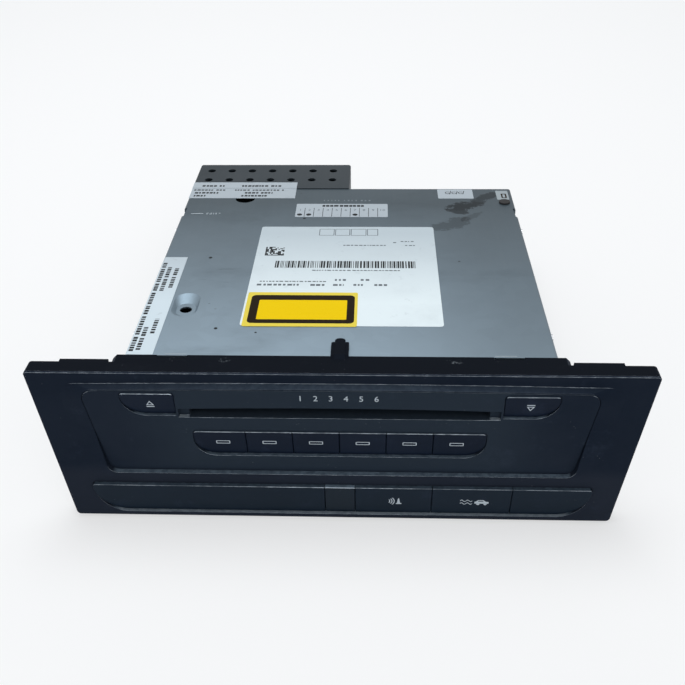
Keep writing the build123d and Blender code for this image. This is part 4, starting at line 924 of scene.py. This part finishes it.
# Punched dot and small dents in the zinc, drawn as dark discs of painted shade: x, depth and radius
dents = ((-23.1, 148.5, 0.8), (-66.1, 103.3, 0.9), (-54.1, 37.6, 0.8), (-36.5, 34.5, 0.5))
ink_on_cover("cover_dent_shades", [disc((x, y), radius) for x, y, radius in dents], dark_ink, bare_drop)


def bent_foil(name, path, low_run, high_run, along_y, material):
    """Foil that follows a path: path points are (across, height) in metres and the foil runs
    from low_run to high_run along the other level axis."""
    normals = []
    for k in range(len(path)):
        before, after = path[max(k - 1, 0)], path[min(k + 1, len(path) - 1)]
        run = Vector((after[0] - before[0], after[1] - before[1])).normalized()
        normals.append(Vector((-run.y, run.x)))
    made = bmesh.new()
    rings = []
    for end in (low_run, high_run):
        for grow in (-foil_sunk, foil_wall):
            ring = []
            for (across, height), normal in zip(path, normals):
                side, level = across + normal.x * grow, height + normal.y * grow
                corner = (side, end, level) if along_y else (end, side, level)
                ring.append(made.verts.new(corner))
            rings.append(ring)
    under_low, over_low, under_high, over_high = rings
    for first, second in ((over_low, over_high), (under_high, under_low), (under_low, over_low),
                          (over_high, under_high)):
        for k in range(len(path) - 1):
            made.faces.new((first[k], first[k + 1], second[k + 1], second[k]))
    for k in (0, -1):
        made.faces.new([ring[k] for ring in (under_low, over_low, over_high, under_high)])
    bmesh.ops.recalc_face_normals(made, faces=made.faces)
    mesh = bpy.data.meshes.new(name)
    made.to_mesh(mesh)
    made.free()
    add_piece(name, mesh, material)


# Strip seal that wraps over the cover's left edge
bend, bend_steps = 1.2 * MM, 8
strip_side = 8.0 * MM
strip_end = -77.3 * MM
edge_x = cover_low.x
wrap = [(edge_x, cover_top - strip_side), (edge_x, cover_top - bend)]
for k in range(1, bend_steps):
    turn = radians(180 - 90 * k / bend_steps)
    wrap.append((edge_x + bend + bend * cos(turn), cover_top - bend + bend * sin(turn)))
wrap += [(edge_x + bend, cover_top), (strip_end, cover_top)]
bent_foil("strip_seal", wrap, at_depth(16.6), at_depth(103.5), True, seal_foil)
strip_rows = ((-87.0, 19, 98), (-84.0, 70, 93), (-84.2, 20, 38), (-80.4, 73, 92), (-80.8, 33, 45))
strip_lines = print_lines(strip_rows, 1.9, 0.9, 1.7, 0.4, grouped=True)
ink_on_cover("strip_seal_lines", turned(strip_lines), dark_ink)

# Seal across the joint of cover and hood
seal_left, seal_right = cover_low.x + 0.2 * MM, -30 * MM
joint_path = [
    (at_depth(174), cover_top), (cover_rear - 1.2 * MM, cover_top),
    (cover_rear + 0.6 * MM, hood_top), (at_depth(195), hood_top),
]
bent_foil("rear_seal", joint_path, seal_left, seal_right, False, seal_foil)
cover_rows = (
    (185.3, -87.5, -70.0), (185.3, -64.5, -36.5), (181.2, -86.5, -72.0), (181.2, -58.5, -43.0),
    (177.2, -86.5, -80.0), (177.2, -60.0, -44.0),
)
hood_rows = ((189.9, -83.5, -71.0), (189.9, -61.0, -38.5))
for name, rows, lift in (
    ("rear_seal_lines", cover_rows, 0.0), ("rear_seal_top_lines", hood_rows, hood_top - cover_top),
):
    ink_on_cover(name, print_lines(rows, 2.0, 0.9, 1.9, 0.35, grouped=True), dark_ink, lift)

# Pale pen marks at the left and a faint stamped row behind the label
scribble_rows = ((154.6, -76.0, -68.4), (153.5, -76.0, -70.0))
scribble = [stroke((-84.2, 154.0), (-77.6, 154.2), 0.5)]
scribble += print_lines(scribble_rows, 0.45, 0.5, 1.4, 0.5)
ink_on_cover("cover_scribble", scribble, pale_ink, bare_drop)
stamped = print_lines(((171.2, -13.9, 13.2),), 1.5, 0.4, 1.1, 0.8, grouped=True)
ink_on_cover("cover_stamped_row", stamped, faint_ink, bare_drop)

# Painted highlight: bright metal strokes on the rims of the tray's tongues where they pass the
# collar
rim_x, rim_half, rim_depth, rim_line = 67.8, 4.5, 17.3, 0.4
rims = [stroke((x - rim_half, rim_depth), (x + rim_half, rim_depth), rim_line)
        for x in (-rim_x, rim_x)]
ink_on_cover("cover_tongue_rim_highlights", rims, bright_zinc, bare_drop)

# Worn tab behind the plug, with a small square opening drawn as a dark printed ring: painted shade
plate("rear_tab", (80.4, 172.6, 87.0, 184.4), 0.4, bright_zinc)
ink_on_cover("rear_tab_opening_shade", inset_pair(83.0, 174.6, 85.9, 180.4, 0.2, 0.8), frame_ink)

# Floor that touches the moulding and the housing's rear edge, as the unit rests on both
moulding_rear = face_y + moulding_depth
floor_half = 1.3
tilt = atan2(tray_low.z, tray_high.y - moulding_rear)
floor_mesh = bpy.data.meshes.new("floor")
floor_mesh.from_pydata(
    [(sx * floor_half, sy * floor_half, 0) for sx, sy in ((-1, -1), (1, -1), (1, 1), (-1, 1))],
    [], [(0, 1, 2, 3)],
)
floor = bpy.data.objects.new("floor", floor_mesh)
bpy.context.scene.collection.objects.link(floor)
floor.matrix_world = Matrix.Translation((0, moulding_rear, 0)) @ Matrix.Rotation(tilt, 4, "X")
floor_paint = Paint("floor")
floor_glow = 0.55
matt = Value(floor_paint, floor_paint.shader.outputs[0])
floor_paint.done(Base_Color=(0.90, 0.90, 0.90), Roughness=0.9, Specular_IOR_Level=0.0)
glow = floor_paint.node("ShaderNodeEmission", {}, {"Color": (1, 1, 1), "Strength": 1.0})
mixed = floor_paint.node(
    "ShaderNodeMixShader", {}, [floor_paint.seen_rays() * floor_glow, matt, glow]
)
floor_paint.feed(floor_paint.tree.nodes["Material Output"].inputs["Surface"], mixed)
floor_mesh.materials.append(floor_paint.owner)

# Camera as fitted to the corners in the picture, whose sizes and centre are in pixels
picture_size = 685.0
focal, centre_x, centre_y = 952.26, 336.134, 345.613
yaw, pitch, roll = 0.04746, 0.57029, 0.01828
camera_place = (14.124 * MM, face_y - 308.959 * MM, bezel_top + 211.747 * MM)
camera_data = bpy.data.cameras.new("camera")
camera_data.sensor_width = 36.0
camera_data.lens = focal / picture_size * camera_data.sensor_width
camera_data.shift_x = (picture_size / 2 - centre_x) / picture_size
camera_data.shift_y = (centre_y - picture_size / 2) / picture_size
camera_data.clip_start, camera_data.clip_end = 0.01, 10.0
camera = bpy.data.objects.new("camera", camera_data)
bpy.context.scene.collection.objects.link(camera)
camera.matrix_world = (
    Matrix.Translation(camera_place)
    @ Matrix.Rotation(yaw, 4, "Z") @ Matrix.Rotation(pi / 2 - pitch, 4, "X")
    @ Matrix.Rotation(-roll, 4, "Z")
)
bpy.context.scene.camera = camera


def soft_lamp(name, place, width, height, watts, tone=(1, 1, 1)):
    """Area lamp that looks at the unit."""
    target = Vector((0, 0, 0.05))
    data = bpy.data.lights.new(name, "AREA")
    data.shape, data.size, data.size_y = "RECTANGLE", width, height
    data.energy, data.color = watts, tone
    lamp = bpy.data.objects.new(name, data)
    bpy.context.scene.collection.objects.link(lamp)
    lamp.location = place
    lamp.rotation_mode = "QUATERNION"
    lamp.rotation_quaternion = (Vector(place) - target).to_track_quat("Z", "Y")


soft_lamp("ceiling", (-0.12, 0.10, 1.15), 0.75, 0.45, 7.0, (0.96, 0.98, 1.0))
soft_lamp("front_fill", (0.35, -1.15, 1.0), 0.9, 0.7, 3.0)

# World: white for the rays that see it, half as strong and slightly blue for the light it gives
sky = Paint("studio", "worlds", "Background")
bpy.context.scene.world = sky.owner
sky.done(Color=sky.blend(sky.seen_rays(), (0.45, 0.475, 0.50), (1.0, 1.0, 1.0)), Strength=1.0)

bpy.context.scene.view_settings.view_transform = "Standard"
